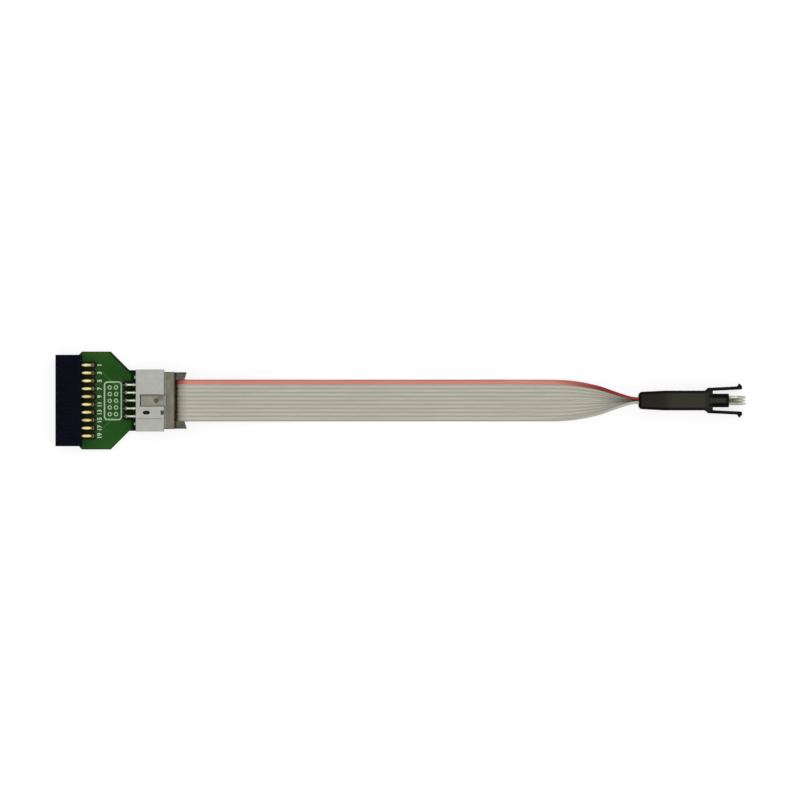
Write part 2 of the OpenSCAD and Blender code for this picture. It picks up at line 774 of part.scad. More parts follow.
module idc_cover() {
    x_arm = x_flange + seat;
    foot_r = cover_t / 2;
    color([0.47, 0.45, 0.4])
        difference() {
            union() {
                slab_y(0, cover_w) {
                    translate([x_cover, z_idc_bottom + foot_r])
                        square([cover_t, idc_h - foot_r]);
                    translate([x_cover + foot_r, z_idc_bottom + foot_r])
                        circle(foot_r);
                }
                span([x_clamp + seat, -flange_w / 2, z_idc_top - cover_lip_h],
                    [x_cover + eps, flange_w / 2, z_idc_top]);
                for (s = [-1, 1]) {
                    inner = ribbon_half + saddle_clear;
                    post = (flange_w / 2 - inner) / 2;
                    span([x_clamp, s * (inner + post) - post, z_header - cover_arm_h / 2],
                        [x_cover + eps, s * (inner + post) + post, z_header + cover_arm_h / 2]);
                    arm = s * (cover_w - cover_arm_t) / 2;
                    span([x_arm, arm - cover_arm_t / 2, z_header - cover_arm_h / 2],
                        [x_cover + eps, arm + cover_arm_t / 2, z_header + cover_arm_h / 2]);
                }
            }
            for (s = [-1, 1]) {
                x_tooth = x_flange + (flange_t - tooth_len) / 2;
                cut = cover_arm_t + eps;
                window_h = tooth_h + 2 * tooth_clear;
                span([x_tooth - tooth_clear, s * cover_w / 2 - cut, z_header - window_h / 2],
                    [x_tooth + tooth_len + tooth_clear, s * cover_w / 2 + cut, z_header + window_h / 2]);
                clip = s * (ribbon_half + saddle_clear + clip_w / 2);
                slot_w = clip_w + 2 * seat;
                slot_h = clip_h + 2 * seat;
                span([x_cover_back - clip_depth - seat, clip - slot_w / 2, z_clip - slot_h / 2],
                    [x_cover_back + eps, clip + slot_w / 2, z_clip + slot_h / 2]);
            }
            for (y = header_y, row = [0, 1]) {
                z = z_header + row_z[row];
                span([x_cover - eps, fork_y(y, row) - fork_w / 2 - fork_clear, z - fork_t / 2 - fork_clear],
                    [x_cover + fork_reach + fork_clear, fork_y(y, row) + fork_w / 2 + fork_clear,
                        z + fork_t / 2 + fork_clear]);
            }
        }
}

// Bar with a rounded saddle that the ribbon bends over, ears, and webs and clips to the cover
module strain_relief() {
    saddle_half = ribbon_half + saddle_clear;
    z_low = z_idc_top - relief_h;
    z_saddle = z_idc_top - saddle_drop;
    half_w = flange_w / 2 + flange_over;
    color([0.36, 0.35, 0.31]) {
        slab_y(0, 2 * saddle_half) {
            translate([x_relief, z_low])
                square([relief_t - ear_lean, z_saddle - saddle_r - z_low]);
            translate([x_relief + saddle_r, z_low])
                square([relief_t - ear_lean - saddle_r, z_saddle - z_low]);
            translate([x_relief + saddle_r, z_saddle - saddle_r])
                circle(saddle_r);
        }
        for (s = [-1, 1]) {
            translate([0, 0, z_low])
                linear_extrude(relief_h)
                    polygon([
                        [x_ear, s * saddle_half], [x_relief_back - ear_lean, s * saddle_half],
                        [x_relief_back, s * half_w], [x_ear, s * half_w]
                    ]);
            clip = s * (saddle_half + clip_w / 2);
            span([x_cover_back - clip_depth, clip - clip_w / 2, z_clip - clip_h / 2],
                [x_ear + eps, clip + clip_w / 2, z_clip + clip_h / 2]);
            web = s * (saddle_half + half_w) / 2;
            web_half = (half_w - saddle_half) / 2;
            span([x_cover_back + seat, web - web_half, z_low],
                [x_ear + eps, web + web_half, z_clip + clip_h / 2]);
        }
    }
}

// Ribbon section: a point at distance s across, on one face, for a fold and its radius
function fold_r(fold) = ribbon_r + fold_open_r * pow(1 - fold / 90, 2);
function fold_turn(s, fold, r) = max(-fold, min(fold, s / r * 180 / PI));
function fold_rest(s, fold, r) = abs(s) - min(abs(s), fold * PI / 180 * r);
function fold_point(s, face, fold, r) =
    let (turn = fold_turn(s, fold, r))
    let (rest = fold_rest(s, fold, r) * sign(s))
    [
        r * sin(turn) + rest * cos(turn) - face * sin(turn),
        r * (1 - cos(turn)) + abs(rest) * sin(abs(turn)) + face * cos(turn)
    ];
function section(fold) =
    let (n = len(ribbon_across))
    let (r = fold_r(fold))
    concat(
        [for (s = ribbon_across) fold_point(s, -ribbon_t / 2, fold, r)],
        [for (i = [n - 1:-1:0]) fold_point(ribbon_across[i], ribbon_t / 2, fold, r)]
    );

// Heading of the route at point i, as a unit vector in X and Z
function unit(v) = v / norm(v);
function heading(i) =
    let (a = route[max(i - 1, 0)])
    let (b = route[min(i + 1, len(route) - 1)])
    unit([b[0] - a[0], b[1] - a[1]]);
function ring(i) =
    let (p = route[i])
    let (t = heading(i))
    [for (q = section(p[2])) [p[0] - t[1] * q[1], q[0], p[1] + t[0] * q[1]]];

// Closed skin over rings of equal size
module swept(rings) {
    n = len(rings[0]);
    last = len(rings) - 1;
    points = [for (r = rings) for (p = r) p];
    sides = [
        for (k = [0:last - 1]) for (i = [0:n - 1])
            let (a = k * n + i)
            let (b = k * n + (i + 1) % n)
            each [[a, b, b + n], [a, b + n, a + n]]
    ];
    caps = [
        for (i = [0:n / 2 - 2])
            let (a = [i, i + 1, n - 2 - i, n - 1 - i])
            let (b = [for (k = a) k + last * n])
            each [[a[0], a[3], a[2]], [a[0], a[2], a[1]], [b[0], b[1], b[2]], [b[0], b[2], b[3]]]
    ];
    polyhedron(points, concat(sides, caps), convexity = 6);
}

module ribbon_cable() {
    color([0.7, 0.68, 0.62])
        swept([for (i = [0:len(route) - 1]) ring(i)]);
}

// Shell of the head: round-edged, tapered to the back, hollow for the ribbon's end
module plug_shell() {
    r = shell_round;
    entry_w = 2 * (ribbon_r + ribbon_t / 2 + entry_clear);
    entry_low = plug_route[len(plug_route) - 1][1] - ribbon_t / 2 - entry_clear;
    entry_high = entry_low + ribbon_half - ribbon_r * (PI / 2 - 1) + ribbon_t / 2 + 2 * entry_clear;
    color([0.17, 0.165, 0.15])
        difference() {
            hull() {
                for (sy = [-1, 1], sz = [-1, 1]) {
                    back = [x_shell + r, sy * (shell_back_w / 2 - r), z_head + sz * (shell_back_h / 2 - r)];
                    front = [x_shell + shell_taper, sy * (shell_w / 2 - r), z_head + sz * (head_h / 2 - r)];
                    translate(back)
                        sphere(r, $fn = 24);
                    translate(front)
                        rotate([0, 90, 0])
                            cylinder(h = shell_len - shell_taper, r = r, $fn = 24);
                }
            }
            tenon_hole(x_block - block_clear, x_collar + eps);
            span([x_shell + shell_wall, -shell_cavity_w / 2, z_head - shell_cavity_h / 2],
                [x_block, shell_cavity_w / 2, z_head + shell_cavity_h / 2]);
            span([x_shell - eps, -entry_w / 2, entry_low],
                [x_shell + shell_wall + eps, entry_w / 2, entry_high]);
        }
}

// Pocket for a leg's round root, open to the front as wide as the leg swings
module leg_pocket(side, z) {
    r = knuckle_d / 2 + knuckle_clear;
    reach = leg_pivot_back + eps;
    inner = leg_neck_t / 2 + knuckle_clear + reach * sin(leg_swing);
    outer = leg_neck_t / 2 + knuckle_clear;
    translate([x_pivot, side * leg_pivot_y, z - leg_w / 2 - knuckle_clear]) {
        cylinder(h = leg_w + 2 * knuckle_clear, r = r);
        linear_extrude(leg_w + 2 * knuckle_clear)
            polygon([[0, side * outer], [reach, side * outer], [reach, -side * inner], [0, -side * outer]]);
    }
}

module leg_collar() {
    color([0.15, 0.145, 0.13])
        difference() {
            intersection() {
                linear_extrude(head_h)
                    polygon([
                        [x_collar, -shell_w / 2], [x_collar + collar_slope, -collar_w / 2],
                        [x_nose, -collar_w / 2], [x_nose, collar_w / 2],
                        [x_collar + collar_slope, collar_w / 2], [x_collar, shell_w / 2]
                    ]);
                translate([x_collar, 0, z_head])
                    rotate([90, 0, 90])
                        linear_extrude(collar_t)
                            rounded_rectangle(collar_w, head_h, collar_round);
            }
            tenon_hole(x_collar - eps, x_nose + eps);
            for (p = legs)
                leg_pocket(p[0], z_head + p[1]);
        }
}

// Block of the needles: a tenon in the head, and a nose that is shouldered on the collar
module needle_block() {
    color([0.2, 0.195, 0.18])
        difference() {
            union() {
                obround_bar(x_block, x_nose + eps, nose_w, tenon_h);
                obround_bar(x_nose, x_nose_face, nose_w, nose_h);
            }
            for (p = needles)
                translate([x_block - eps, p[0], z_head + p[1]])
                    rotate([0, 90, 0])
                        cylinder(h = block_len + 2 * eps, d = barrel_d + 2 * seat);
            for (p = guides)
                translate([x_block - eps, p[0], z_head + p[1]])
                    rotate([0, 90, 0])
                        cylinder(h = block_len + 2 * eps, d = guide_shank_d + 2 * seat);
        }
}

module guide_pins() {
    color("lightgrey")
        for (p = guides)
            turned_x(p[0], z_head + p[1])
                polygon([
                    [0, x_block], [guide_shank_d / 2, x_block], [guide_shank_d / 2, x_nose_face],
                    [guide_d / 2, x_nose_face], [guide_d / 2, x_tip - guide_taper],
                    [guide_tip_d / 2, x_tip], [0, x_tip]
                ]);
}

module probe_barrels() {
    color([0.8, 0.7, 0.4])
        for (p = needles)
            turned_x(p[0], z_head + p[1])
                polygon([
                    [cup_bore / 2, x_barrel], [barrel_d / 2, x_barrel], [barrel_d / 2, x_nose_face],
                    [lip_bore / 2, x_nose_face], [lip_bore / 2, x_lip], [barrel_bore / 2, x_lip],
                    [barrel_bore / 2, x_spring], [0, x_spring], [0, x_cup], [cup_bore / 2, x_cup]
                ]);
}

module probe_leads() {
    x_wire = x_shell + wire_start;
    color([0.72, 0.45, 0.3])
        for (p = needles)
            translate([x_wire, p[0], z_head + p[1]])
                rotate([0, 90, 0])
                    cylinder(h = x_cup - seat - x_wire, d = wire_d);
}

module probe_plunger(i) {
    p = needles[i];
    tail_r = barrel_bore / 2 - plunger_clear;
    shaft_r = lip_bore / 2 - plunger_clear;
    color([0.75, 0.73, 0.66])
        turned_x(p[0], z_head + p[1])
            polygon([
                [0, x_tail], [tail_r, x_tail], [tail_r, x_lip - seat], [shaft_r, x_lip - seat],
                [shaft_r, x_needle - point_len], [0, x_needle]
            ]);
}

// Coil spring between the barrel's floor and the plunger's tail
module probe_spring(i) {
    p = needles[i];
    wire_r = spring_wire / 2;
    coil_r = barrel_bore / 2 - spring_gap - wire_r;
    x0 = x_spring + wire_r + spring_gap;
    length = x_tail - x_spring - spring_wire - 2 * spring_gap;
    count = spring_turns * spring_steps;
    rings = [
        for (k = [0:count])
            let (a = 360 * k / spring_steps)
            [
                for (j = [0:spring_sides - 1])
                    let (b = 360 * j / spring_sides)
                    let (r = coil_r + wire_r * cos(b))
                    let (x = x0 + length * k / count + wire_r * sin(b))
                    [x, p[0] + r * cos(a), z_head + p[1] + r * sin(a)]
            ]
    ];
    color("slategrey")
        swept(rings);
}

// Leg outline as (x, y) about its pivot, on the +Y side: round root, neck, beam and barb
module leg_outline() {
    root = leg_pivot_back + leg_gap;
    tip = x_leg_tip - x_pivot;
    lean = tan(leg_lean);
    outer = collar_w / 2 + leg_proud - leg_pivot_y;
    inner = outer - leg_t;
    back = tip - barb_len;
    circle(d = knuckle_d);
    polygon([
        [0, -leg_neck_t / 2], [root, -leg_neck_t / 2], [root, inner],
        [tip - leg_t / 4, inner + tip * lean], [tip, inner + tip * lean + leg_t / 4],
        [tip, outer + tip * lean],
        [back + barb_fall * barb_len, outer + back * lean + barb_shoulder * barb_h],
        [back + barb_peak * barb_len, outer + back * lean + barb_h],
        [back + barb_rise * barb_len, outer + back * lean + barb_shoulder * barb_h],
        [back, outer + back * lean], [root, outer], [root, leg_neck_t / 2], [0, leg_neck_t / 2]
    ]);
}

module latch_leg(i) {
    p = legs[i];
    color([0.1, 0.1, 0.09])
        translate([x_pivot, p[0] * leg_pivot_y, z_head + p[1] - leg_w / 2])
            linear_extrude(leg_w)
                mirror([0, p[0] < 0 ? 1 : 0])
                    leg_outline();
}

adapter_pcb();
socket_housing();
socket_contacts(0);  // socket_contacts_upper
socket_contacts(1);  // socket_contacts_lower
solder_joints();
header_shroud();
header_pins(0);  // header_pins_upper
header_pins(1);  // header_pins_lower
idc_housing();
idc_contacts();
idc_cover();
strain_relief();
ribbon_cable();
plug_shell();
leg_collar();
needle_block();
guide_pins();
probe_barrels();
probe_leads();
for (i = [0:WAYS - 1])
    probe_plunger(i);
for (i = [0:WAYS - 1])
    probe_spring(i);
for (i = [0:len(legs) - 1])
    latch_leg(i);
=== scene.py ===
"""Looks of the debug needle adapter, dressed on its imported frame. Metres, +Z up, +X to the needles."""
import math

import bmesh
import bpy
from mathutils import Matrix, Vector


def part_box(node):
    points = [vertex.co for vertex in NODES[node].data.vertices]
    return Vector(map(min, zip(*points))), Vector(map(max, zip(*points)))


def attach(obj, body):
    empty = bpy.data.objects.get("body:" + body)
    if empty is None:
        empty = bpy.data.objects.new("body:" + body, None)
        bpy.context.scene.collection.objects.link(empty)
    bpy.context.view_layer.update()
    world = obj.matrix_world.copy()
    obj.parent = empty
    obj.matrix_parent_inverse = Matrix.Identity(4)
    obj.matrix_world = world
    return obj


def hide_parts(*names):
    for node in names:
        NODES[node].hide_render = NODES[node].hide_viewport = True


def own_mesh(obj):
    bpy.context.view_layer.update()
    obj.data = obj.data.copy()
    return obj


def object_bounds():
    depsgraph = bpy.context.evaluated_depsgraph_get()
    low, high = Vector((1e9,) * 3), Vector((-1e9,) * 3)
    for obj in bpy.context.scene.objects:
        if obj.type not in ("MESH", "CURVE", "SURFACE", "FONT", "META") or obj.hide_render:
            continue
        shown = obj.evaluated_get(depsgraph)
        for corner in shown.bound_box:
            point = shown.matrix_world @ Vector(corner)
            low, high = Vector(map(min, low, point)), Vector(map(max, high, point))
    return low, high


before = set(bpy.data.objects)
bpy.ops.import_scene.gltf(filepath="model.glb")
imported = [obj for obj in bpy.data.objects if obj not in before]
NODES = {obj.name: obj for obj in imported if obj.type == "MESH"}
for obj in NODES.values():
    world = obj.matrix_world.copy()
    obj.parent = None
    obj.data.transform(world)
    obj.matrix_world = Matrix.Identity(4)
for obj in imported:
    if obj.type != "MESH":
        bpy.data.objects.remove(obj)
CAD_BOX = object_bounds()
MM = 0.001

# Photograph: its side in pixels and its scale, and the pixels of the socket's left face and the middle line
PHOTO_SIDE = 800
PX_PER_MM = 3.1
FACE_PX = 55.64
MIDDLE_PX = 400.5

# Print on the board, in pixels of the photograph: column of the pin numbers and sides of the plan's frame
NUMBERS_PX = 99.5
PLAN_LEFT_PX = 103.6
PLAN_TOP_PX = 381.3
PLAN_RIGHT_PX = 121.8
PLAN_BOTTOM_PX = 420.3

# Contact grid
PIN_PITCH = 2.54 * MM
PIN_HALF = 0.32 * MM
SOCKET_COLUMNS = 10
HEADER_COLUMNS = 5
HOLE_R = 0.52 * MM

# Ribbon, and the needles and legs at its end
WAYS = 10
FINE_PITCH = 1.27 * MM
RIBBON_T = 0.9 * MM
RIBBON_WEB_T = 0.5 * MM
SPRING_WIRE = 0.08 * MM
LEGS = 4

# Ribbon's edges: their radius, and their radius and the added width where the clamp holds it
EDGE_R = 0.3 * MM
HELD_EDGE_R = 0.08 * MM
HELD_SPREAD = 0.06 * MM

# Ribbon's fold: its full angle, and how much wider it curves where it starts
FULL_FOLD = math.radians(90)
FOLD_OPEN_R = 2.6 * MM

# Places along the ribbon: where the clamp's hold fades, the bend's painted shade fades and the fold's painted
# shade rises
HOLD_FADES = 14 * MM
HOLD_ENDS = 18 * MM
BEND_FADES = 14.8 * MM
BEND_ENDS = 16.8 * MM
FOLD_STARTS = 136 * MM
FOLD_FULL = 152 * MM

# Painted shade on the ribbon deep in the clamp: the height up to which it lies, how far along the ribbon it
# goes, and how far below that height it is thickest
SHADE_TOP = 8.2 * MM
SHADE_RUN = 12 * MM
SHADE_DEPTH = 1.2 * MM

# Board: where its taper starts, and the half widths of its neck and of its wide part
TAPER_X = -93.55 * MM
NECK_HALF = 9.8 * MM
BOARD_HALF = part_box("adapter_pcb")[1].y

# Header and ribbon socket: height of the key, half width of the key's slot, and the pocket and groove on Y
KEY_H = 1.05 * MM
KEY_SLOT_HALF = 1.95 * MM
POCKET_Y = -3.9 * MM
GROOVE_Y = -5.85 * MM

# Black painted as shade on the mouldings' sides, round edges, flanks and hollows
SHADE_BLACK = (3, 3, 2)


# Rows of contacts

def columns(count):
    """Places along Y of a row of contacts."""
    return [(i - (count - 1) / 2) * PIN_PITCH for i in range(count)]


def hole_rows(level):
    """X of the socket's and of the header's row of holes for the upper or the lower contacts."""
    socket_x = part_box(f"socket_contacts_{level}")[1].x - PIN_HALF
    header_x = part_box(f"header_pins_{level}")[0].x + PIN_HALF
    return socket_x, header_x


UPPER_SOCKET_X, UPPER_HEADER_X = hole_rows("upper")
LOWER_SOCKET_X, LOWER_HEADER_X = hole_rows("lower")


# Camera, light and stage

def photo_point(px, py):
    """Place on the object's plan, in metres, of a pixel of the photograph."""
    x = CAD_BOX[0].x + (px - FACE_PX) / PX_PER_MM * MM
    y = (MIDDLE_PX - py) / PX_PER_MM * MM
    return x, y


def add_camera():
    """Long lens straight above the object, framed as the photograph is."""
    height = 4.0
    field = PHOTO_SIDE / PX_PER_MM * MM
    data = bpy.data.cameras.new("camera")
    data.angle = 2 * math.atan(field / 2 / (height - CAD_BOX[1].z / 2))
    data.clip_end = 5 * height
    camera = bpy.data.objects.new("camera", data)
    x, y = photo_point(PHOTO_SIDE / 2, PHOTO_SIDE / 2)
    camera.location = (x, y, height)
    bpy.context.scene.collection.objects.link(camera)
    bpy.context.scene.camera = camera


def seen_directly(tree):
    """Socket that is 1 for camera, mirror and glass rays and 0 for the light that falls on things."""
    path = tree.nodes.new("ShaderNodeLightPath")
    seen = path.outputs["Is Camera Ray"]
    for kind in ("Is Glossy Ray", "Is Transmission Ray"):
        either = tree.nodes.new("ShaderNodeMath")
        either.operation = "MAXIMUM"
        tree.links.new(seen, either.inputs[0])
        tree.links.new(path.outputs[kind], either.inputs[1])
        seen = either.outputs[0]
    return seen


def show(tree, lighting, seen, output):
    """Links two shaders to an output: one for the light that falls on things, one for what is seen."""
    mix = tree.nodes.new("ShaderNodeMixShader")
    tree.links.new(seen_directly(tree), mix.inputs["Fac"])
    tree.links.new(lighting.outputs[0], mix.inputs[1])
    tree.links.new(seen.outputs[0], mix.inputs[2])
    tree.links.new(mix.outputs[0], tree.nodes[output].inputs["Surface"])


def add_world():
    """White to the eye and in reflections, softer as a light."""
    fill = 0.25
    white = (1, 1, 1, 1)
    world = bpy.data.worlds.new("studio")
    world.use_nodes = True
    bpy.context.scene.world = world
    tree = world.node_tree
    light = tree.nodes["Background"]
    light.inputs["Color"].default_value = white
    light.inputs["Strength"].default_value = fill
    backdrop = tree.nodes.new("ShaderNodeBackground")
    backdrop.inputs["Color"].default_value = white
    show(tree, light, backdrop, "World Output")


def add_lamp(name, strength, spread, tilt, turn):
    """Soft lamp far away: tilt from straight above and turn about Z, in degrees."""
    data = bpy.data.lights.new(name, "SUN")
    data.energy = strength
    data.angle = math.radians(spread)
    lamp = bpy.data.objects.new(name, data)
    lamp.rotation_euler = (math.radians(tilt), 0, math.radians(turn))
    bpy.context.scene.collection.objects.link(lamp)


def add_floor():
    """White floor that keeps a faint shadow of the object."""
    half = 8
    sunk = 0.02 * MM
    glow = 0.8
    paint_white = (0.8, 0.8, 0.8, 1)
    shade_grey = (0.24, 0.24, 0.24, 1)
    bpy.ops.mesh.primitive_plane_add(size=2 * half, location=(0, 0, -sunk))
    floor = bpy.context.object
    floor.name = "floor"
    material = bpy.data.materials.new("floor_white")
    material.use_nodes = True
    tree = material.node_tree
    tree.nodes.remove(tree.nodes["Principled BSDF"])
    paint = tree.nodes.new("ShaderNodeBsdfDiffuse")
    paint.inputs["Color"].default_value = paint_white
    shade = tree.nodes.new("ShaderNodeBsdfDiffuse")
    shade.inputs["Color"].default_value = shade_grey
    shine = tree.nodes.new("ShaderNodeEmission")
    shine.inputs["Strength"].default_value = glow
    seen = tree.nodes.new("ShaderNodeAddShader")
    tree.links.new(shade.outputs[0], seen.inputs[0])
    tree.links.new(shine.outputs[0], seen.inputs[1])
    show(tree, paint, seen, "Material Output")
    floor.data.materials.append(material)


# Material helpers

def srgb(red, green, blue):
    """Linear colour of a screen colour with channels from 0 to 255."""
    def linear(c):
        c /= 255
        return c / 12.92 if c <= 0.04045 else ((c + 0.055) / 1.055) ** 2.4
    return linear(red), linear(green), linear(blue), 1


class Finish:
    """One node material: a principled shader and the textures that feed it."""

    def __init__(self, name, roughness, specular, metallic=0):
        self.material = bpy.data.materials.new(name)
        self.material.use_nodes = True
        self.tree = self.material.node_tree
        self.shader = self.tree.nodes["Principled BSDF"]
        self.shader.inputs["Roughness"].default_value = roughness
        self.shader.inputs["Specular IOR Level"].default_value = specular
        self.shader.inputs["Metallic"].default_value = metallic
        self.place = self.node("ShaderNodeTexCoord").outputs["Object"]

    def node(self, kind, **settings):
        made = self.tree.nodes.new(kind)
        for key, value in settings.items():
            setattr(made, key, value)
        return made

    def link(self, start, end):
        self.tree.links.new(start, end)

    def math(self, operation, first, second=0.0):
        """Result of one sum; each operand is a socket or a number."""
        made = self.node("ShaderNodeMath", operation=operation)
        for socket, value in zip(made.inputs, (first, second)):
            if isinstance(value, (int, float)):
                socket.default_value = value
            else:
                self.link(value, socket)
        return made.outputs[0]

    def chain(self, operation, values):
        """Result of one sum repeated over two or more values."""
        result = values[0]
        for value in values[1:]:
            result = self.math(operation, result, value)
        return result

    def product(self, *shares):
        """All the given shares multiplied together."""
        return self.chain("MULTIPLY", shares)

    def most(self, *shares):
        """The largest of the given shares."""
        return self.chain("MAXIMUM", shares)

    def apart(self, value, middle):
        """Distance of a value from a middle."""
        return self.math("ABSOLUTE", self.math("SUBTRACT", value, middle))

    def stretched(self, x, y, z):
        """Object place with each axis scaled, for streaks."""
        made = self.node("ShaderNodeMapping")
        made.inputs["Scale"].default_value = (x, y, z)
        self.link(self.place, made.inputs["Vector"])
        return made.outputs[0]

    def noise(self, size, detail=3, rough=0.55, place=None):
        """Cloudy pattern whose blotches are about size metres across."""
        made = self.node("ShaderNodeTexNoise")
        made.inputs["Scale"].default_value = 1 / size
        made.inputs["Detail"].default_value = detail
        made.inputs["Roughness"].default_value = rough
        self.link(place or self.place, made.inputs["Vector"])
        return made.outputs["Fac"]

    def ramp(self, value, low, high, start=0.0, end=1.0):
        """Value moved from the range low to high into start to end, clamped."""
        made = self.node("ShaderNodeMapRange")
        for key, number in zip(("From Min", "From Max", "To Min", "To Max"), (low, high, start, end)):
            made.inputs[key].default_value = number
        self.link(value, made.inputs["Value"])
        return made.outputs["Result"]

    def rise(self, value, low, high, share=1.0):
        """Nothing up to low, and the given share from high on."""
        return self.ramp(value, low, high, 0.0, share)

    def fade(self, value, low, high, share=1.0):
        """The given share up to low, and nothing from high on."""
        return self.ramp(value, low, high, share, 0.0)

    def mix(self, share, first, second):
        """Colour between two others; each is a colour or a socket."""
        made = self.node("ShaderNodeMix", data_type="RGBA")
        self.link(share, made.inputs["Factor"])
        for socket, value in zip((made.inputs[6], made.inputs[7]), (first, second)):
            if isinstance(value, tuple):
                socket.default_value = value
            else:
                self.link(value, socket)
        return made.outputs[2]

    def colour(self, socket):
        self.link(socket, self.shader.inputs["Base Color"])

    def roughness(self, socket):
        self.link(socket, self.shader.inputs["Roughness"])

    def bump(self, height, depth, strength=0.6):
        """Relief of the given depth, in metres, from a height between 0 and 1."""
        made = self.node("ShaderNodeBump")
        made.inputs["Strength"].default_value = strength
        made.inputs["Distance"].default_value = depth
        self.link(height, made.inputs["Height"])
        self.link(made.outputs[0], self.shader.inputs["Normal"])


def moulded(name, dark, light, roughness, specular, blotch, grain, depth):
    """Moulded plastic: cloudy colour, fine grain in its gloss and relief."""
    finish = Finish(name, roughness, specular)
    cloud = finish.ramp(finish.noise(blotch), 0.3, 0.7)
    finish.colour(finish.mix(cloud, srgb(*dark), srgb(*light)))
    speck = finish.noise(grain, detail=2)
    finish.roughness(finish.ramp(speck, 0.3, 0.7, roughness - 0.06, roughness + 0.08))
    finish.bump(speck, depth)
    return finish


def plated(name, dark, light, roughness, blotch, grain, depth):
    """Plated metal: tarnish in clouds, fine drawing marks along the pins."""
    finish = Finish(name, roughness, specular=0.5, metallic=1)
    cloud = finish.ramp(finish.noise(blotch, detail=4), 0.35, 0.7)
    finish.colour(finish.mix(cloud, srgb(*light), srgb(*dark)))
    drawn = finish.noise(grain, place=finish.stretched(0.15, 1, 1))
    finish.roughness(finish.ramp(drawn, 0.3, 0.7, roughness - 0.05, roughness + 0.12))
    finish.bump(drawn, depth, strength=0.4)
    return finish


def leaning(finish, upright=0.3, level=0.6):
    """Socket that goes from 0 on level faces to 1 on upright ones, between two heights of their normal."""
    parts = finish.node("ShaderNodeSeparateXYZ")
    finish.link(finish.node("ShaderNodeTexCoord").outputs["Normal"], parts.inputs[0])
    return finish.fade(finish.math("ABSOLUTE", parts.outputs["Z"]), upright, level)


def axes(finish):
    """The three parts of an object's place, as sockets."""
    parts = finish.node("ShaderNodeSeparateXYZ")
    finish.link(finish.place, parts.inputs[0])
    return parts.outputs["X"], parts.outputs["Y"], parts.outputs["Z"]


def from_column(finish, y, count):
    """Distance along Y from the nearest of a row's count of contact columns."""
    shift = 0.5 if count % 2 == 0 else 0.0
    column = finish.math("ADD", finish.math("DIVIDE", y, PIN_PITCH), shift)
    return finish.math("MULTIPLY", finish.math("PINGPONG", column, 0.5), PIN_PITCH)


def repaint(finish, share, colour):
    """Lays a second colour over a finish by a share."""
    below = finish.shader.inputs["Base Color"].links[0].from_socket
    finish.colour(finish.mix(share, below, srgb(*colour)))


# Materials

def pin_shade_zone(finish, x, y, row_x, side, count, half):
    """Socket that is 1 around a row of pins, where shade is painted, with round bays at their ends: side is
    that of the ends on X.
    """
    reach = 1.35 * MM
    soft = 0.25 * MM
    aside = from_column(finish, y, count)
    beyond = finish.math("MAXIMUM", finish.math("MULTIPLY", finish.math("SUBTRACT", x, row_x), side), 0)
    square = finish.math("ADD", finish.math("POWER", aside, 2), finish.math("POWER", beyond, 2))
    near = finish.fade(finish.math("SQRT", square), reach - soft, reach + soft)
    inside = finish.fade(finish.math("ABSOLUTE", y), half, half + 2 * soft)
    return finish.product(near, inside)


def edge_distance(finish, x, y):
    """Distance of a place on the board from its side edges and its taper."""
    side = finish.math("ABSOLUTE", y)
    from_side = finish.math("SUBTRACT", BOARD_HALF, side)
    from_neck = finish.math("SUBTRACT", NECK_HALF, side)
    beside_neck = finish.math("MAXIMUM", from_neck, from_taper(finish, x, side))
    return finish.math("MINIMUM", from_side, beside_neck)


def from_taper(finish, x, side):
    """Distance of a place on the board from the slanted edge of one side."""
    slope = finish.math("SUBTRACT", finish.math("SUBTRACT", TAPER_X + BOARD_HALF, x), side)
    return finish.math("DIVIDE", slope, math.sqrt(2))


def woven(finish, x, y):
    """Height of the laminate's weave, from 0 to 1."""
    thread = 0.55 * MM
    wave = 2 * math.pi / thread
    warp = finish.math("SINE", finish.math("MULTIPLY", x, wave))
    weft = finish.math("SINE", finish.math("MULTIPLY", y, wave))
    return finish.ramp(finish.math("MULTIPLY", warp, weft), -1, 1)


def board_finish():
    """Green solder mask with painted shade around the pin rows, under the header and along the edges, over a
    woven laminate with bare cut edges.
    """
    finish = Finish("board_mask", roughness=0.38, specular=0.02)
    cloud = finish.ramp(finish.noise(7 * MM), 0.35, 0.65)
    mask = finish.mix(cloud, srgb(31, 70, 22), srgb(37, 80, 31))
    x, y, _ = axes(finish)
    warm_side = finish.rise(y, BOARD_HALF - 2.2 * MM, BOARD_HALF - 0.8 * MM, share=0.6)
    mask = finish.mix(warm_side, mask, srgb(52, 78, 18))
    # Painted shade between the socket's tails and the header's pins, and painted shadow beside the header
    socket_pin_shade = pin_shade_zone(finish, x, y, UPPER_SOCKET_X, side=1, count=SOCKET_COLUMNS, half=12.4 * MM)
    mask = finish.mix(socket_pin_shade, mask, srgb(24, 21, 4))
    header_pin_shade = pin_shade_zone(finish, x, y, UPPER_HEADER_X, side=-1, count=HEADER_COLUMNS, half=6.2 * MM)
    header_shadow = finish.rise(x, UPPER_HEADER_X + 1.2 * MM, UPPER_HEADER_X + 2 * MM)
    mask = finish.mix(finish.most(header_pin_shade, header_shadow), mask, srgb(10, 13, 4))
    # Painted shade along the board's edges, wider and darker along the +Y taper
    border = finish.fade(edge_distance(finish, x, y), 0.12 * MM, 0.4 * MM, share=0.75)
    mask = finish.mix(border, mask, srgb(16, 30, 8))
    taper_shade = finish.fade(from_taper(finish, x, y), 0.4 * MM, 1 * MM, share=0.9)
    mask = finish.mix(taper_shade, mask, srgb(12, 20, 6))
    weave = woven(finish, x, y)
    weave_tint = finish.mix(finish.math("MULTIPLY", weave, 0.1), mask, srgb(52, 104, 44))
    layers = finish.noise(0.5 * MM, place=finish.stretched(0.3, 0.3, 6))
    fibre = finish.mix(layers, srgb(30, 34, 12), srgb(74, 74, 34))
    finish.colour(finish.mix(leaning(finish), weave_tint, fibre))
    finish.bump(weave, 0.006 * MM, strength=0.5)
    return finish.material


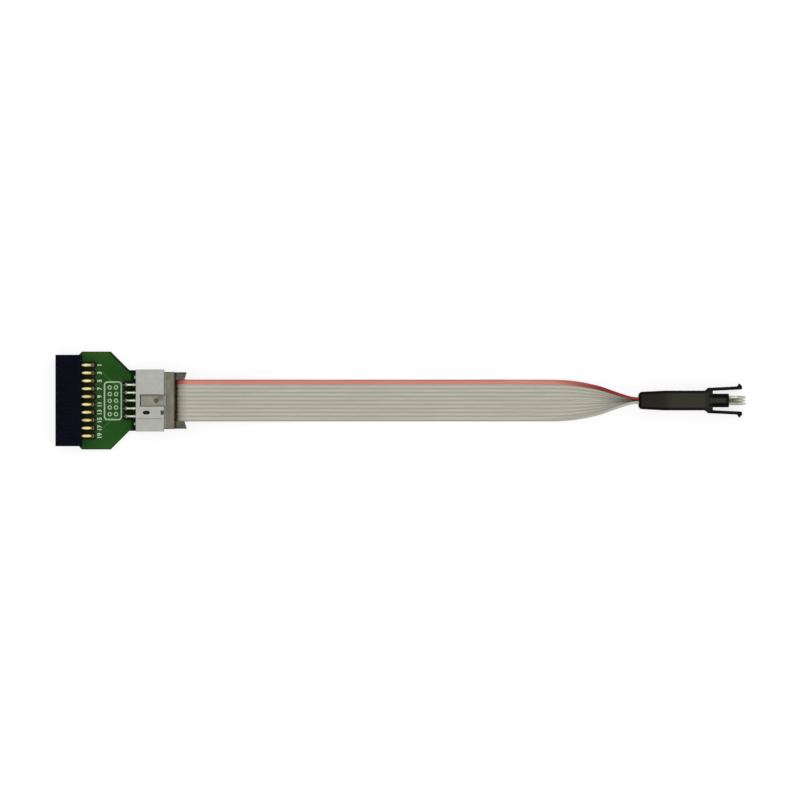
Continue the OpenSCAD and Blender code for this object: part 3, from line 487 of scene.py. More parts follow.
def track_finish():
    """Copper tracks under the mask: the same green, a shade lighter."""
    return moulded(
        "board_track", (36, 90, 30), (42, 98, 36), roughness=0.36, specular=0.12,
        blotch=5 * MM, grain=0.2 * MM, depth=0.004 * MM).material


def ink_finish(name, thin, full):
    """Printed ink that the board shows through where it is thin."""
    finish = Finish(name, roughness=0.6, specular=0.1)
    worn = finish.ramp(finish.noise(0.35 * MM, detail=4), 0.3, 0.62)
    finish.colour(finish.mix(worn, srgb(*thin), srgb(*full)))
    return finish.material


def socket_finish():
    return moulded(
        "socket_black", (3, 3, 13), (6, 6, 19), roughness=0.5, specular=0.025,
        blotch=4 * MM, grain=0.12 * MM, depth=0.008 * MM).material


def header_finish():
    """Light grey moulding with dust on it, with painted shade and dust in its key slot and painted shade in
    its moulding groove.
    """
    finish = moulded(
        "header_grey", (164, 166, 160), (176, 177, 171), roughness=0.5, specular=0.2,
        blotch=3 * MM, grain=0.1 * MM, depth=0.008 * MM)
    dust = finish.rise(finish.noise(2.2 * MM, detail=5), 0.52, 0.72, share=0.5)
    repaint(finish, dust, (168, 163, 148))
    x, y, z = axes(finish)
    low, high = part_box("header_shroud")
    from_back = finish.math("SUBTRACT", x, low.x)
    from_rim = finish.math("SUBTRACT", high.x, x)
    depth = finish.math("SUBTRACT", high.z, z)
    # Dust and painted shade in the key slot
    slot_dust_and_shade = finish.product(
        finish.rise(depth, 0.1 * MM, 0.4 * MM),
        finish.fade(depth, 2 * MM, 2.2 * MM),
        finish.fade(finish.math("ABSOLUTE", y), KEY_SLOT_HALF, KEY_SLOT_HALF + 0.1 * MM),
        finish.rise(from_back, 0.8 * MM, 0.9 * MM))
    repaint(finish, slot_dust_and_shade, (122, 119, 106))
    # Painted shade in the moulding groove
    groove_shade = finish.product(
        finish.rise(depth, 0.05 * MM, 0.1 * MM),
        finish.fade(depth, 0.2 * MM, 0.3 * MM),
        finish.fade(finish.apart(y, GROOVE_Y), 0.12 * MM, 0.2 * MM),
        finish.rise(from_back, 1.1 * MM, 1.2 * MM),
        finish.rise(from_rim, 0.4 * MM, 0.5 * MM))
    repaint(finish, groove_shade, (138, 138, 131))
    return finish.material


def idc_finish(name, dark, light, streak):
    """Brownish grey moulding with flow streaks along its width."""
    finish = moulded(
        name, dark, light, roughness=0.5, specular=0.12,
        blotch=2 * MM, grain=0.1 * MM, depth=0.01 * MM)
    flow_line = finish.noise(0.5 * MM, place=finish.stretched(1, 0.12, 1))
    repaint(finish, finish.rise(flow_line, 0.45, 0.75, share=0.7), streak)
    return finish


def key_darkening(finish, x, y, depth, rim_x):
    """Share of darkening on the ribbon socket's key: painted shade along its edges and in its mark, and a
    darker patch by the header's rim.
    """
    on_key = finish.fade(depth, KEY_H - 0.4 * MM, KEY_H - 0.2 * MM)
    near_edge = finish.rise(y, KEY_SLOT_HALF - 0.8 * MM, KEY_SLOT_HALF - 0.1 * MM, share=0.75)
    far_edge = finish.fade(y, 0.1 * MM - KEY_SLOT_HALF, 0.5 * MM - KEY_SLOT_HALF, share=0.5)
    in_mark = finish.rise(depth, 0.1 * MM, 0.4 * MM, share=0.85)
    by_rim = finish.fade(finish.apart(x, rim_x - 1.1 * MM), 0.8 * MM, 1.3 * MM)
    rim_patch = finish.product(by_rim, finish.rise(y, -0.5 * MM, 0.5 * MM, share=0.55))
    return finish.product(on_key, finish.most(near_edge, far_edge, in_mark, rim_patch))


def housing_finish():
    """Ribbon socket, with darkening on its key, and painted shade in its pocket and below the header's notch.
    """
    finish = idc_finish("idc_grey", (128, 125, 112), (144, 141, 128), streak=(152, 149, 137))
    x, y, z = axes(finish)
    low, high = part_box("idc_housing")
    rim_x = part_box("header_shroud")[1].x
    depth = finish.math("SUBTRACT", high.z, z)
    # Painted shade on the key's edges and mark, and a darker patch by the header's rim
    repaint(finish, key_darkening(finish, x, y, depth, rim_x), (78, 74, 64))
    from_pocket = finish.apart(y, POCKET_Y)
    # Painted shade in the pocket
    pocket_shade = finish.product(
        finish.rise(depth, KEY_H + 0.1 * MM, KEY_H + 0.3 * MM),
        finish.fade(depth, KEY_H + 0.75 * MM, KEY_H + 0.8 * MM),
        finish.fade(from_pocket, 0.51 * MM, 0.52 * MM),
        finish.fade(finish.math("SUBTRACT", x, low.x), 4 * MM, 4.1 * MM))
    repaint(finish, pocket_shade, (30, 28, 23))
    # Painted shade below the header's notch
    from_notch = finish.most(from_pocket, finish.apart(x, rim_x - 0.5 * MM))
    repaint(finish, finish.fade(from_notch, 0.35 * MM, 0.8 * MM, share=0.75), (52, 48, 38))
    return finish.material


def cover_finish():
    """Cover of the ribbon socket, with painted shade along its edge by the ribbon and at its ends."""
    finish = idc_finish("cover_grey", (106, 102, 90), (124, 120, 107), streak=(134, 132, 119))
    x, y, _ = axes(finish)
    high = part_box("idc_cover")[1]
    # Painted shade at the cover's ends
    at_ends = finish.rise(finish.math("ABSOLUTE", y), high.y - 0.5 * MM, high.y, share=0.6)
    repaint(finish, at_ends, (62, 61, 54))
    # Painted shade along the edge by the ribbon's gap
    ribbon_side_shade = finish.rise(x, high.x - 0.4 * MM, high.x, share=0.7)
    repaint(finish, ribbon_side_shade, (62, 54, 38))
    return finish.material


def relief_finish():
    """Grey bar whose ears are darkest at their outer ends."""
    finish = moulded(
        "relief_grey", (66, 66, 57), (98, 97, 86), roughness=0.55, specular=0.1,
        blotch=0.9 * MM, grain=0.1 * MM, depth=0.012 * MM)
    _, y, _ = axes(finish)
    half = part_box("strain_relief")[1].y
    at_ends = finish.rise(finish.math("ABSOLUTE", y), half - 0.7 * MM, half, share=0.65)
    repaint(finish, at_ends, (34, 34, 30))
    return finish.material


def ribbon_finish(name, groove, ridge, streak, bend, fold):
    """Soft vinyl: painted shade in its grooves and light on its crowns, streaks along the lead, painted shade
    at its bend and fold and deep in the clamp.
    """
    finish = Finish(name, roughness=0.5, specular=0.12)
    streak_stretch = 0.04
    along, across, sunk = (
        finish.node("ShaderNodeAttribute", attribute_name=attribute).outputs["Fac"]
        for attribute in ("along", "across", "sunk"))
    way = finish.math("FRACT", finish.math("DIVIDE", across, FINE_PITCH))
    crown = finish.fade(finish.apart(way, 0.5), 0.22, 0.44)
    plan = finish.node("ShaderNodeCombineXYZ")
    finish.link(finish.math("MULTIPLY", along, streak_stretch), plan.inputs[0])
    finish.link(across, plan.inputs[1])
    drawn = finish.noise(0.9 * MM, detail=4, place=plan.outputs[0])
    # Grooves painted darker and crowns lighter, as shade and light over the round wires
    body = finish.mix(crown, srgb(*groove), srgb(*ridge))
    worn = finish.mix(finish.rise(drawn, 0.42, 0.68, share=0.7), body, srgb(*streak))
    # Painted shade in the fold and at the bend over the clamp
    lead = finish.mix(finish.rise(along, FOLD_STARTS, FOLD_FULL), worn, srgb(*fold))
    lead = finish.mix(finish.fade(along, BEND_FADES, BEND_ENDS, share=0.75), lead, srgb(*bend))
    # Painted shade where the ribbon lies deep in the clamp
    finish.colour(finish.mix(finish.rise(sunk, 0.0, SHADE_DEPTH), lead, srgb(126, 113, 86)))
    finish.bump(finish.noise(0.25 * MM), 0.01 * MM, strength=0.4)
    return finish.material


def shade_sides(finish):
    """Black moulding with painted shade on its sides and round edges; its level faces keep their grey."""
    shaded = finish.math("MULTIPLY", leaning(finish, upright=0.86, level=0.985), 0.92)
    repaint(finish, shaded, SHADE_BLACK)
    return finish.material


def shell_finish():
    """Black moulding of the needle head, a little greyer on its straight front part."""
    finish = moulded(
        "shell_black", (36, 34, 29), (41, 38, 33), roughness=0.46, specular=0.03,
        blotch=6 * MM, grain=0.14 * MM, depth=0.015 * MM)
    x, _, _ = axes(finish)
    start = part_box("plug_shell")[0].x
    repaint(finish, finish.rise(x, start + 8 * MM, start + 11 * MM), (51, 51, 43))
    return shade_sides(finish)


def block_finish():
    """Black block, grey along the crown of its nose, with painted shade on the nose's flanks and near its
    face.
    """
    finish = moulded(
        "block_black", (45, 44, 38), (53, 51, 45), roughness=0.4, specular=0.03,
        blotch=3 * MM, grain=0.1 * MM, depth=0.006 * MM)
    x, y, _ = axes(finish)
    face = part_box("needle_block")[1].x
    # Painted shade on the nose's round flanks and near its face
    flank = finish.rise(finish.math("ABSOLUTE", y), 0.75 * MM, 1.15 * MM, share=0.9)
    front = finish.rise(x, face - 1.1 * MM, face - 0.8 * MM, share=0.85)
    repaint(finish, finish.most(flank, front), SHADE_BLACK)
    return shade_sides(finish)


def collar_finish():
    """Black collar, grey in its middle, with painted shade on its sides and in the hollows where the nose
    comes out of it.
    """
    finish = moulded(
        "collar_black", (38, 38, 33), (47, 47, 41), roughness=0.42, specular=0.03,
        blotch=3 * MM, grain=0.1 * MM, depth=0.008 * MM)
    x, y, _ = axes(finish)
    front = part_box("leg_collar")[1].x
    side = finish.math("ABSOLUTE", y)
    # Painted shade on the collar's sides, and deeper shade in the hollows beside the nose
    repaint(finish, finish.rise(side, 1.8 * MM, 3.2 * MM, share=0.8), (14, 14, 12))
    by_flank = finish.fade(finish.apart(side, 1.5 * MM), 0.35 * MM, 0.7 * MM)
    hollow_shade = finish.product(by_flank, finish.rise(x, front - 1.7 * MM, front - 1.1 * MM, share=0.9))
    repaint(finish, hollow_shade, SHADE_BLACK)
    return shade_sides(finish)


def leg_finish():
    return moulded(
        "leg_black", (5, 5, 4), (10, 10, 8), roughness=0.36, specular=0.04,
        blotch=2 * MM, grain=0.1 * MM, depth=0.005 * MM).material


def gold_finish():
    """Gold plating, with a painted highlight on each tail's spindle-shaped crown and painted shade in amber
    on its flanks and ends.
    """
    finish = plated(
        "contact_gold", (138, 132, 82), (174, 172, 124), roughness=0.32,
        blotch=1.2 * MM, grain=0.08 * MM, depth=0.003 * MM)
    x, y, _ = axes(finish)
    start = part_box("socket_housing")[1].x
    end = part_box("socket_contacts_upper")[1].x
    reach = 0.6 * (end - start)
    from_widest = finish.math("DIVIDE", finish.apart(x, end - reach), reach)
    taper = finish.math("MULTIPLY", finish.math("POWER", from_widest, 2), 0.75)
    aside = finish.math("DIVIDE", from_column(finish, y, SOCKET_COLUMNS), 0.55 * MM)
    # Painted highlight along each tail's crown, painted shade on its flanks and at both ends
    flank = finish.rise(finish.math("ADD", aside, taper), 0.25, 0.9, share=0.94)
    repaint(finish, flank, (66, 48, 18))
    return finish.material


def pad_finish():
    # Gold darkened to brown: painted shade under the pins, and flux
    return plated(
        "pad_gold", (32, 27, 13), (52, 43, 22), roughness=0.42,
        blotch=0.7 * MM, grain=0.1 * MM, depth=0.004 * MM).material


def tin_finish():
    return plated(
        "pin_tin", (116, 120, 108), (158, 162, 150), roughness=0.32,
        blotch=1.2 * MM, grain=0.08 * MM, depth=0.003 * MM).material


def solder_finish():
    return plated(
        "solder", (84, 82, 70), (138, 135, 120), roughness=0.34,
        blotch=0.5 * MM, grain=0.2 * MM, depth=0.01 * MM).material


def steel_finish():
    return plated(
        "pin_steel", (126, 125, 112), (168, 167, 154), roughness=0.5,
        blotch=1.5 * MM, grain=0.06 * MM, depth=0.002 * MM).material


def probe_finish():
    return plated(
        "probe_gold", (120, 116, 97), (158, 153, 131), roughness=0.5,
        blotch=0.8 * MM, grain=0.06 * MM, depth=0.002 * MM).material


def copper_finish():
    return plated(
        "lead_copper", (150, 92, 60), (200, 132, 92), roughness=0.35,
        blotch=0.8 * MM, grain=0.1 * MM, depth=0.004 * MM).material


# Geometry helpers

def smooth_by_angle_group():
    """Node group that joins the borders of a CAD mesh's faces and smooths its round stretches."""
    join_distance = 0.001 * MM
    crease_angle = 32
    group = bpy.data.node_groups.new("join_and_smooth", "GeometryNodeTree")
    group.interface.new_socket("Geometry", in_out="INPUT", socket_type="NodeSocketGeometry")
    group.interface.new_socket("Geometry", in_out="OUTPUT", socket_type="NodeSocketGeometry")
    nodes = group.nodes
    start = nodes.new("NodeGroupInput")
    plain = nodes.new("GeometryNodeRemoveAttribute")
    plain.inputs["Name"].default_value = "custom_normal"
    joined = nodes.new("GeometryNodeMergeByDistance")
    joined.inputs["Distance"].default_value = join_distance
    smooth = nodes.new("GeometryNodeSetShadeSmooth")
    smooth.domain = "FACE"
    angle = nodes.new("GeometryNodeInputMeshEdgeAngle")
    steep = nodes.new("FunctionNodeCompare")
    steep.data_type = "FLOAT"
    steep.operation = "GREATER_THAN"
    steep.inputs["B"].default_value = math.radians(crease_angle)
    crease = nodes.new("GeometryNodeSetShadeSmooth")
    crease.domain = "EDGE"
    crease.inputs["Shade Smooth"].default_value = False
    end = nodes.new("NodeGroupOutput")
    link = group.links.new
    link(start.outputs[0], plain.inputs["Geometry"])
    link(plain.outputs[0], joined.inputs["Geometry"])
    link(joined.outputs[0], smooth.inputs["Geometry"])
    link(smooth.outputs[0], crease.inputs["Geometry"])
    link(angle.outputs["Unsigned Angle"], steep.inputs["A"])
    link(steep.outputs[0], crease.inputs["Selection"])
    link(crease.outputs[0], end.inputs[0])
    return group


JOIN_AND_SMOOTH = smooth_by_angle_group()


def dress(node, material, edge=0.0):
    """Gives a CAD node its material, and rounds its sharp edges by edge metres."""
    flat_angle = 0.5
    sharp_angle = 40
    obj = NODES[node]
    obj.material_slots[0].material = material
    joined = obj.modifiers.new("join_and_smooth", "NODES")
    joined.node_group = JOIN_AND_SMOOTH
    if edge:
        flat = obj.modifiers.new("flat_faces", "DECIMATE")
        flat.decimate_type = "DISSOLVE"
        flat.angle_limit = math.radians(flat_angle)
        bevel = obj.modifiers.new("edges", "BEVEL")
        bevel.width = edge
        bevel.segments = 2
        bevel.limit_method = "ANGLE"
        bevel.angle_limit = math.radians(sharp_angle)
        bevel.harden_normals = True


def add_piece(name, mesh, body):
    """New piece of the object from a finished mesh."""
    obj = bpy.data.objects.new(name, mesh)
    bpy.context.scene.collection.objects.link(obj)
    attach(obj, body)
    return obj


def add_shape(name, shape, body, material):
    """New piece of the object from a mesh under construction, its borders joined and its faces turned out."""
    join_distance = 0.0001 * MM
    bmesh.ops.remove_doubles(shape, verts=shape.verts, dist=join_distance)
    bmesh.ops.recalc_face_normals(shape, faces=shape.faces)
    mesh = bpy.data.meshes.new(name)
    shape.to_mesh(mesh)
    shape.free()
    mesh.materials.append(material)
    return add_piece(name, mesh, body)


def bridge(shape, first, second):
    """Adds a band of faces between two loops of as many points to a mesh."""
    for k in range(len(first)):
        j = (k + 1) % len(first)
        shape.faces.new((first[k], first[j], second[j], second[k]))


# Ribbon lead

# Route of its middle as x, z and fold in millimetres and degrees. The first list is measured
# from the clamp's middle, the second from the back of the needle head.
CLAMP_ROUTE = [
    (0, 10, 0), (0, 8, 0), (0, 5.25, 0), (0.22, 4.41, 0), (0.84, 3.8, 0),
    (1.68, 3.58, 0), (2.51, 3.8, 0), (3.13, 4.41, 0), (3.35, 5.25, 0), (3.35, 7.9, 0),
    (3.49, 8.59, 0), (3.88, 9.17, 0), (4.46, 9.56, 0), (5.15, 9.7, 0), (6.5, 9.7, 0),
    (9, 9.5, 0), (13, 8.8, 0), (18, 7.4, 0), (24, 5.4, 0), (30, 3.5, 0),
    (36, 2, 0), (42, 1.05, 0), (48, 0.6, 0), (54, 0.5, 0), (74, 0.5, 0), (94, 0.5, 0),
]
PLUG_ROUTE = [
    (-40, 0.5, 0), (-32, 0.5, 3), (-28, 0.55, 7), (-24, 0.7, 14), (-20, 1, 26),
    (-16, 1.4, 39), (-12, 1.8, 52), (-8, 2.15, 68), (-4, 2.45, 82), (-1, 2.6, 90), (11, 2.6, 90),
]


def lead_route():
    """Route as (x, z, fold) in metres and radians, with more points where it bends or folds."""
    clamp_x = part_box("ribbon_cable")[0].x + RIBBON_T / 2
    plug_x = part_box("plug_shell")[0].x
    knots = [
        Vector((start + x * MM, z * MM, math.radians(fold)))
        for start, part in ((clamp_x, CLAMP_ROUTE), (plug_x, PLUG_ROUTE))
        for x, z, fold in part
    ]
    longest_step = 2.0 * MM
    route = []
    for i in range(len(knots) - 1):
        before = knots[max(i - 1, 0)]
        here, there = knots[i], knots[i + 1]
        after = knots[min(i + 2, len(knots) - 1)]
        gap = (there.xy - here.xy).length
        leave = flow(before, here, there) * gap
        arrive = flow(here, there, after) * gap
        steps = max(2, math.ceil(gap / longest_step))
        route += [hermite(here, there, leave, arrive, k / steps) for k in range(steps)]
    return route + [knots[-1]]


def flow(before, here, after):
    """Change of a route for each metre along it, at its middle point."""
    way = (here.xy - before.xy).length + (after.xy - here.xy).length
    return (after - before) / way


def hermite(start, end, leave, arrive, t):
    """Point at share t of a curve with given ends and directions."""
    return (
        start * (2 * t**3 - 3 * t**2 + 1) + leave * (t**3 - 2 * t**2 + t)
        + end * (3 * t**2 - 2 * t**3) + arrive * (t**3 - t**2)
    )


def ribbon_section(width, edge_r):
    """Places across the ribbon and its half thickness there: a round over each wire, thin webs between."""
    reach = RIBBON_T / 2
    web = RIBBON_WEB_T / 2
    outer = width / 2 - (WAYS - 1) / 2 * FINE_PITCH
    one_side = (0.14, 0.4, 0.66, 0.86, 0.97, 1)
    shares = [-share for share in reversed(one_side)] + list(one_side)
    section = []
    for way in range(WAYS):
        middle = (way - (WAYS - 1) / 2) * FINE_PITCH
        for share in shares:
            at_edge = (way == 0 and share < 0) or (way == WAYS - 1 and share > 0)
            half = outer if at_edge else reach
            inset = min(1, half * (1 - abs(share)) / edge_r) if at_edge else 1 - abs(share)
            drop = (edge_r if at_edge else reach) * (1 - math.sqrt(1 - (1 - inset) ** 2))
            section.append((middle + share * half, max(reach - drop, web)))
    return section


def folded(s, face, fold):
    """Where a point lies in the folded section, s across the ribbon and face above its middle surface."""
    radius = FINE_PITCH / 2 + FOLD_OPEN_R * (1 - fold / FULL_FOLD) ** 2
    turn = max(-fold, min(fold, s / radius))
    rest = math.copysign(abs(s) - min(abs(s), fold * radius), s)
    return (
        radius * math.sin(turn) + rest * math.cos(turn) - face * math.sin(turn),
        radius * (1 - math.cos(turn)) + abs(rest) * math.sin(abs(turn)) + face * math.cos(turn),
    )


def ribbon_points(route, width):
    """Points of the ribbon's skin, a loop for each point of its route, and their values for its material."""
    points, along, across, sunk = [], [], [], []
    run = 0
    for i, (x, z, fold) in enumerate(route):
        before, after = route[max(i - 1, 0)], route[min(i + 1, len(route) - 1)]
        heading = (after.xy - before.xy).normalized()
        run += (route[i].xy - before.xy).length
        hold = max(0, min(1, (HOLD_ENDS - run) / (HOLD_ENDS - HOLD_FADES)))
        edge_r = EDGE_R + (HELD_EDGE_R - EDGE_R) * hold
        section = ribbon_section(width + HELD_SPREAD * hold, edge_r)
        loop = [(s, -h) for s, h in section] + [(s, h) for s, h in reversed(section)]
        for s, face in loop:
            side, up = folded(s, face, fold)
            points.append((x - heading.y * up, side, z + heading.x * up))
            along.append(run)
            across.append(s)
            sunk.append(max(0, SHADE_TOP - z) if face > 0 and run < SHADE_RUN else 0)
    return points, {"along": along, "across": across, "sunk": sunk}


def ribbon_faces(loops, count):
    """Faces of a skin of so many loops of count points, with a cap at each end."""
    faces = [
        (k * count + i, k * count + (i + 1) % count, (k + 1) * count + (i + 1) % count, (k + 1) * count + i)
        for k in range(loops - 1) for i in range(count)
    ]
    last = (loops - 1) * count
    for i in range(count // 2 - 1):
        cap = (i, count - 1 - i, count - 2 - i, i + 1)
        faces += [cap, tuple(last + k for k in reversed(cap))]
    return faces


def add_ribbon():
    """Ten-way ribbon with a red edge, from the clamp to the needle head, folded together at its end."""
    low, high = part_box("ribbon_cable")
    width = high.y - low.y
    route = lead_route()
    points, values = ribbon_points(route, width)
    mesh = bpy.data.meshes.new("ribbon_lead")
    mesh.from_pydata(points, [], ribbon_faces(len(route), len(points) // len(route)))
    for name, numbers in values.items():
        mesh.attributes.new(name, "FLOAT", "POINT").data.foreach_set("value", numbers)
    # Groove, bend and fold colours are painted shade; the ridge colour is the lit crown
    mesh.materials.append(
        ribbon_finish(
            "ribbon_grey", groove=(154, 150, 138), ridge=(190, 186, 174), streak=(172, 168, 156),
            bend=(148, 145, 132), fold=(182, 180, 168)))
    mesh.materials.append(
        ribbon_finish(
            "ribbon_red", groove=(186, 106, 94), ridge=(208, 136, 122), streak=(200, 134, 120),
            bend=(150, 48, 42), fold=(142, 44, 44)))
    across = values["across"]
    red_from = (WAYS / 2 - 1) * FINE_PITCH
    for polygon in mesh.polygons:
        polygon.use_smooth = True
        middle = sum(across[v] for v in polygon.vertices) / len(polygon.vertices)
        polygon.material_index = 1 if middle > red_from else 0
    ribbon = add_piece("ribbon_lead", mesh, "cable")
    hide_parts("ribbon_cable")


# Needle springs

def coil(low, high):
    """Mesh under construction of a coil spring along X that fills the box between two corners."""
    turns, steps, sides = 9, 20, 8
    wire_r = SPRING_WIRE / 2
    coil_r = (high.y - low.y) / 2 - wire_r
    middle = (low + high) / 2
    length = high.x - low.x - SPRING_WIRE
    count = turns * steps
    shape = bmesh.new()
    rims = []
    for k in range(count + 1):
        turn = 2 * math.pi * k / steps
        rim = []
        for j in range(sides):
            around = 2 * math.pi * j / sides
            x = low.x + wire_r + length * k / count + wire_r * math.sin(around)
            r = coil_r + wire_r * math.cos(around)
            rim.append(shape.verts.new((x, middle.y + r * math.cos(turn), middle.z + r * math.sin(turn))))
        rims.append(rim)
    for a, b in zip(rims, rims[1:]):
        bridge(shape, a, b)
    for face in shape.faces:
        face.smooth = True
    shape.faces.new(rims[0])
    shape.faces.new(rims[-1])
    return shape


def add_springs(material):
    """Coil springs in the needle barrels, in place of the CAD springs."""
    for needle in range(1, WAYS + 1):
        node = f"probe_spring_{needle}"
        low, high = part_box(node)
        spring = add_shape(f"needle_spring_{needle}", coil(low, high), "cable", material)
        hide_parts(node)
        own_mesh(spring)


# Board details

def board_levels():
    """Heights of the board's bottom and top."""
    low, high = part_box("adapter_pcb")
    return low.z, high.z


def ring_piece(name, places, inner, outer, level, rise, material):
    """Flat rings of the given radii about places, standing rise above level."""
    sides = 32
    shape = bmesh.new()
    for x, y in places:
        rims = []
        for radius, z in ((inner, level), (inner, level + rise), (outer, level + rise), (outer, level)):
            rims.append([
                shape.verts.new((
                    x + radius * math.cos(2 * math.pi * k / sides),
                    y + radius * math.sin(2 * math.pi * k / sides), z))
                for k in range(sides)])
        for a, b in zip(rims, rims[1:] + rims[:1]):
            bridge(shape, a, b)
    add_shape(name, shape, "adapter", material)


def add_pads(material):
    """Plated rings around the board's holes, on both faces."""
    bottom, top = board_levels()
    rise = 0.03 * MM
    outer = 0.76 * MM
    rows = (
        (UPPER_SOCKET_X, SOCKET_COLUMNS), (LOWER_SOCKET_X, SOCKET_COLUMNS),
        (UPPER_HEADER_X, HEADER_COLUMNS), (LOWER_HEADER_X, HEADER_COLUMNS))
    places = [(x, y) for x, count in rows for y in columns(count)]
    ring_piece("pads_top", places, HOLE_R, outer, top, rise, material)
    ring_piece("pads_bottom", places, HOLE_R, outer, bottom - rise, rise, material)


def strip(shape, points, width, level, rise):
    """Adds a flat track with mitred corners along points to a mesh."""
    least_mitre = 0.5
    edges = []
    for i, point in enumerate(points):
        back = (point - points[max(i - 1, 0)]).normalized()
        ahead = (points[min(i + 1, len(points) - 1)] - point).normalized()
        way = (back + ahead).normalized()
        side = Vector((-way.y, way.x))
        turned = side.dot(Vector((-ahead.y, ahead.x))) or side.dot(Vector((-back.y, back.x)))
        reach = width / 2 / max(least_mitre, turned)
        edges.append([
            shape.verts.new((*(point + side * reach * s), z))
            for s, z in ((1, level), (1, level + rise), (-1, level + rise), (-1, level))])
    for a, b in zip(edges, edges[1:]):
        bridge(shape, a, b)
    shape.faces.new(edges[0])
    shape.faces.new(reversed(edges[-1]))


def add_tracks(material):
    """Tracks from the socket's holes to the header's, the upper rows' on top and the lower rows' below."""
    bottom, top = board_levels()
    rise = 0.02 * MM
    width = 0.3 * MM
    nearest_bend = 1.6 * MM
    bend_spread = 0.4
    starts = columns(SOCKET_COLUMNS)[::2]
    ends = columns(HEADER_COLUMNS)
    for name, socket_x, header_x, level in (
            ("tracks_top", UPPER_SOCKET_X, UPPER_HEADER_X, top),
            ("tracks_bottom", LOWER_SOCKET_X, LOWER_HEADER_X, bottom - rise)):
        shape = bmesh.new()
        for start, end in zip(starts, ends):
            fan = abs(start - end)
            bend = header_x - nearest_bend - abs(end) * bend_spread
            points = [(socket_x, start), (bend - fan, start), (bend, end), (header_x, end)]
            strip(shape, [Vector(p) for p in points if fan or p[0] != bend], width, level, rise)
        add_shape(name, shape, "adapter", material)


def add_print():
    """Plain pin numbers beside the socket, and a blank header plan in a round-cornered frame."""
    _, top = board_levels()
    rise = 0.03 * MM
    number_size = 1.9 * MM
    corner_r = 1.2 * MM
    line_width = 0.46 * MM
    pin_inner = 0.38 * MM
    pin_outer = 0.7 * MM
    bright = ink_finish("number_ink", thin=(150, 180, 140), full=(212, 226, 204))
    faint = ink_finish("plan_ink", thin=(138, 162, 126), full=(184, 200, 172))
    numbers = bmesh.new()
    number_x, _ = photo_point(NUMBERS_PX, MIDDLE_PX)
    for i, y in enumerate(reversed(columns(SOCKET_COLUMNS))):
        write(numbers, str(2 * i + 1), (number_x, y), number_size, top, rise)
    add_shape("board_print", numbers, "adapter", bright)
    left, upper = photo_point(PLAN_LEFT_PX, PLAN_TOP_PX)
    right, lower = photo_point(PLAN_RIGHT_PX, PLAN_BOTTOM_PX)
    border = bmesh.new()
    frame_line(border, left, lower, right, upper, corner_r, line_width, top, rise)
    add_shape("board_print_frame", border, "adapter", faint)
    row_share, column_share = 0.4, 0.85
    plan = [
        ((left + right) / 2 + side * PIN_PITCH * row_share, (upper + lower) / 2 + y * column_share)
        for side in (-1, 1) for y in columns(HEADER_COLUMNS)]
    ring_piece("board_print_plan", plan, pin_inner, pin_outer, top, rise, faint)


def write(shape, text, place, size, level, rise):
    """Adds a printed number to a mesh, its foot towards +X: filled at one metre tall, then scaled down."""
    boldness = 0.025
    curve = bpy.data.curves.new("number", "FONT")
    curve.body = text
    curve.extrude = rise / 2 / size
    curve.offset = boldness
    curve.align_x = "CENTER"
    curve.align_y = "CENTER"
    obj = bpy.data.objects.new("number", curve)
    bpy.context.scene.collection.objects.link(obj)
    mesh = bpy.data.meshes.new_from_object(obj.evaluated_get(bpy.context.evaluated_depsgraph_get()))
    turn = Matrix.Rotation(math.radians(90), 4, "Z")
    mesh.transform(Matrix.Translation((*place, level + rise / 2)) @ turn @ Matrix.Scale(size, 4))
    shape.from_mesh(mesh)
    bpy.data.objects.remove(obj)
    bpy.data.curves.remove(curve)
    bpy.data.meshes.remove(mesh)


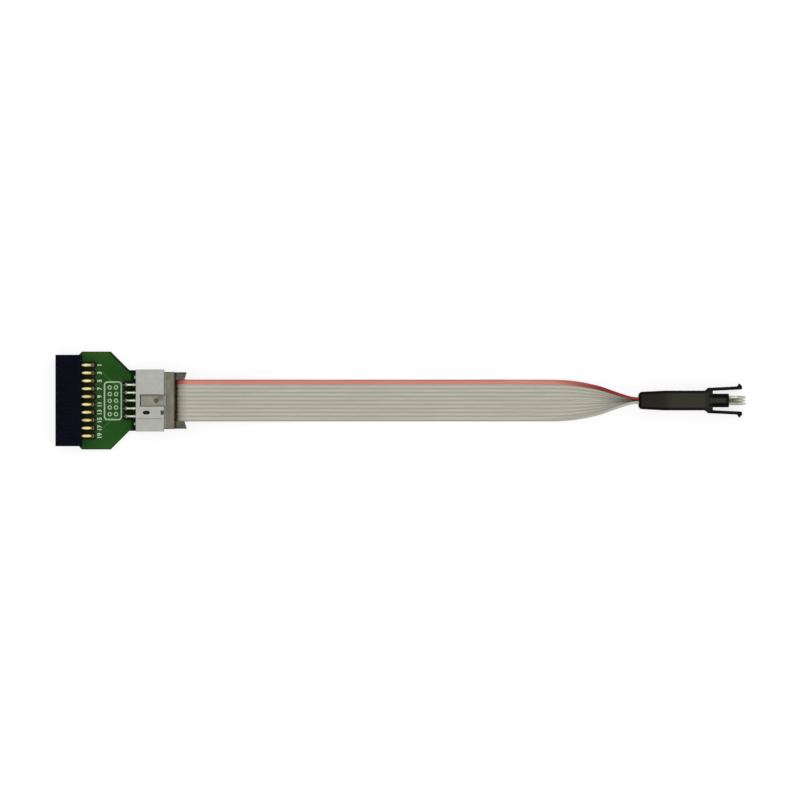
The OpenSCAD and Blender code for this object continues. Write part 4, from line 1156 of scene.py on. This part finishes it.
def frame_line(shape, left, lower, right, upper, radius, width, level, rise):
    """Adds a closed line along a rectangle with round corners to a mesh."""
    corner_steps = 8
    loops = []
    for inset in (0, width):
        bend = radius - inset
        loop = []
        for cx, cy, start in (
                (right, upper, 0), (left, upper, 90), (left, lower, 180), (right, lower, 270)):
            mid_x = cx - math.copysign(radius, cx - (left + right) / 2)
            mid_y = cy - math.copysign(radius, cy - (upper + lower) / 2)
            for k in range(corner_steps + 1):
                a = math.radians(start + 90 * k / corner_steps)
                loop.append((mid_x + bend * math.cos(a), mid_y + bend * math.sin(a)))
        loops.append(loop)
    rims = [
        [shape.verts.new((*p, z)) for p in loop]
        for loop, z in (
            (loops[0], level), (loops[0], level + rise), (loops[1], level + rise), (loops[1], level))]
    for a, b in zip(rims, rims[1:] + rims[:1]):
        bridge(shape, a, b)


# The scene

bpy.context.scene.view_settings.view_transform = "Standard"
add_camera()
add_ribbon()
add_world()
add_lamp("key_lamp", strength=1.6, spread=80, tilt=16, turn=75)
add_lamp("second_lamp", strength=0.85, spread=90, tilt=22, turn=-120)
add_floor()

GOLD, TIN = gold_finish(), tin_finish()
LEG, PROBE, STEEL = leg_finish(), probe_finish(), steel_finish()
dress("adapter_pcb", board_finish(), edge=0.06 * MM)
dress("socket_housing", socket_finish(), edge=0.12 * MM)
dress("socket_contacts_upper", GOLD, edge=0.14 * MM)
dress("socket_contacts_lower", GOLD, edge=0.14 * MM)
dress("solder_joints", solder_finish())
dress("header_shroud", header_finish(), edge=0.12 * MM)
dress("header_pins_upper", TIN, edge=0.14 * MM)
dress("header_pins_lower", TIN, edge=0.14 * MM)
dress("idc_housing", housing_finish(), edge=0.1 * MM)
dress("idc_contacts", GOLD)
dress("idc_cover", cover_finish(), edge=0.12 * MM)
dress("strain_relief", relief_finish(), edge=0.15 * MM)
dress("plug_shell", shell_finish(), edge=0.1 * MM)
dress("leg_collar", collar_finish(), edge=0.1 * MM)
dress("needle_block", block_finish(), edge=0.15 * MM)
dress("guide_pins", STEEL)
dress("probe_barrels", PROBE)
dress("probe_leads", copper_finish())
for needle in range(1, WAYS + 1):
    dress(f"probe_plunger_{needle}", PROBE)
for leg in range(1, LEGS + 1):
    dress(f"latch_leg_{leg}", LEG, edge=0.12 * MM)

add_springs(STEEL)
add_pads(pad_finish())
add_tracks(track_finish())
add_print()
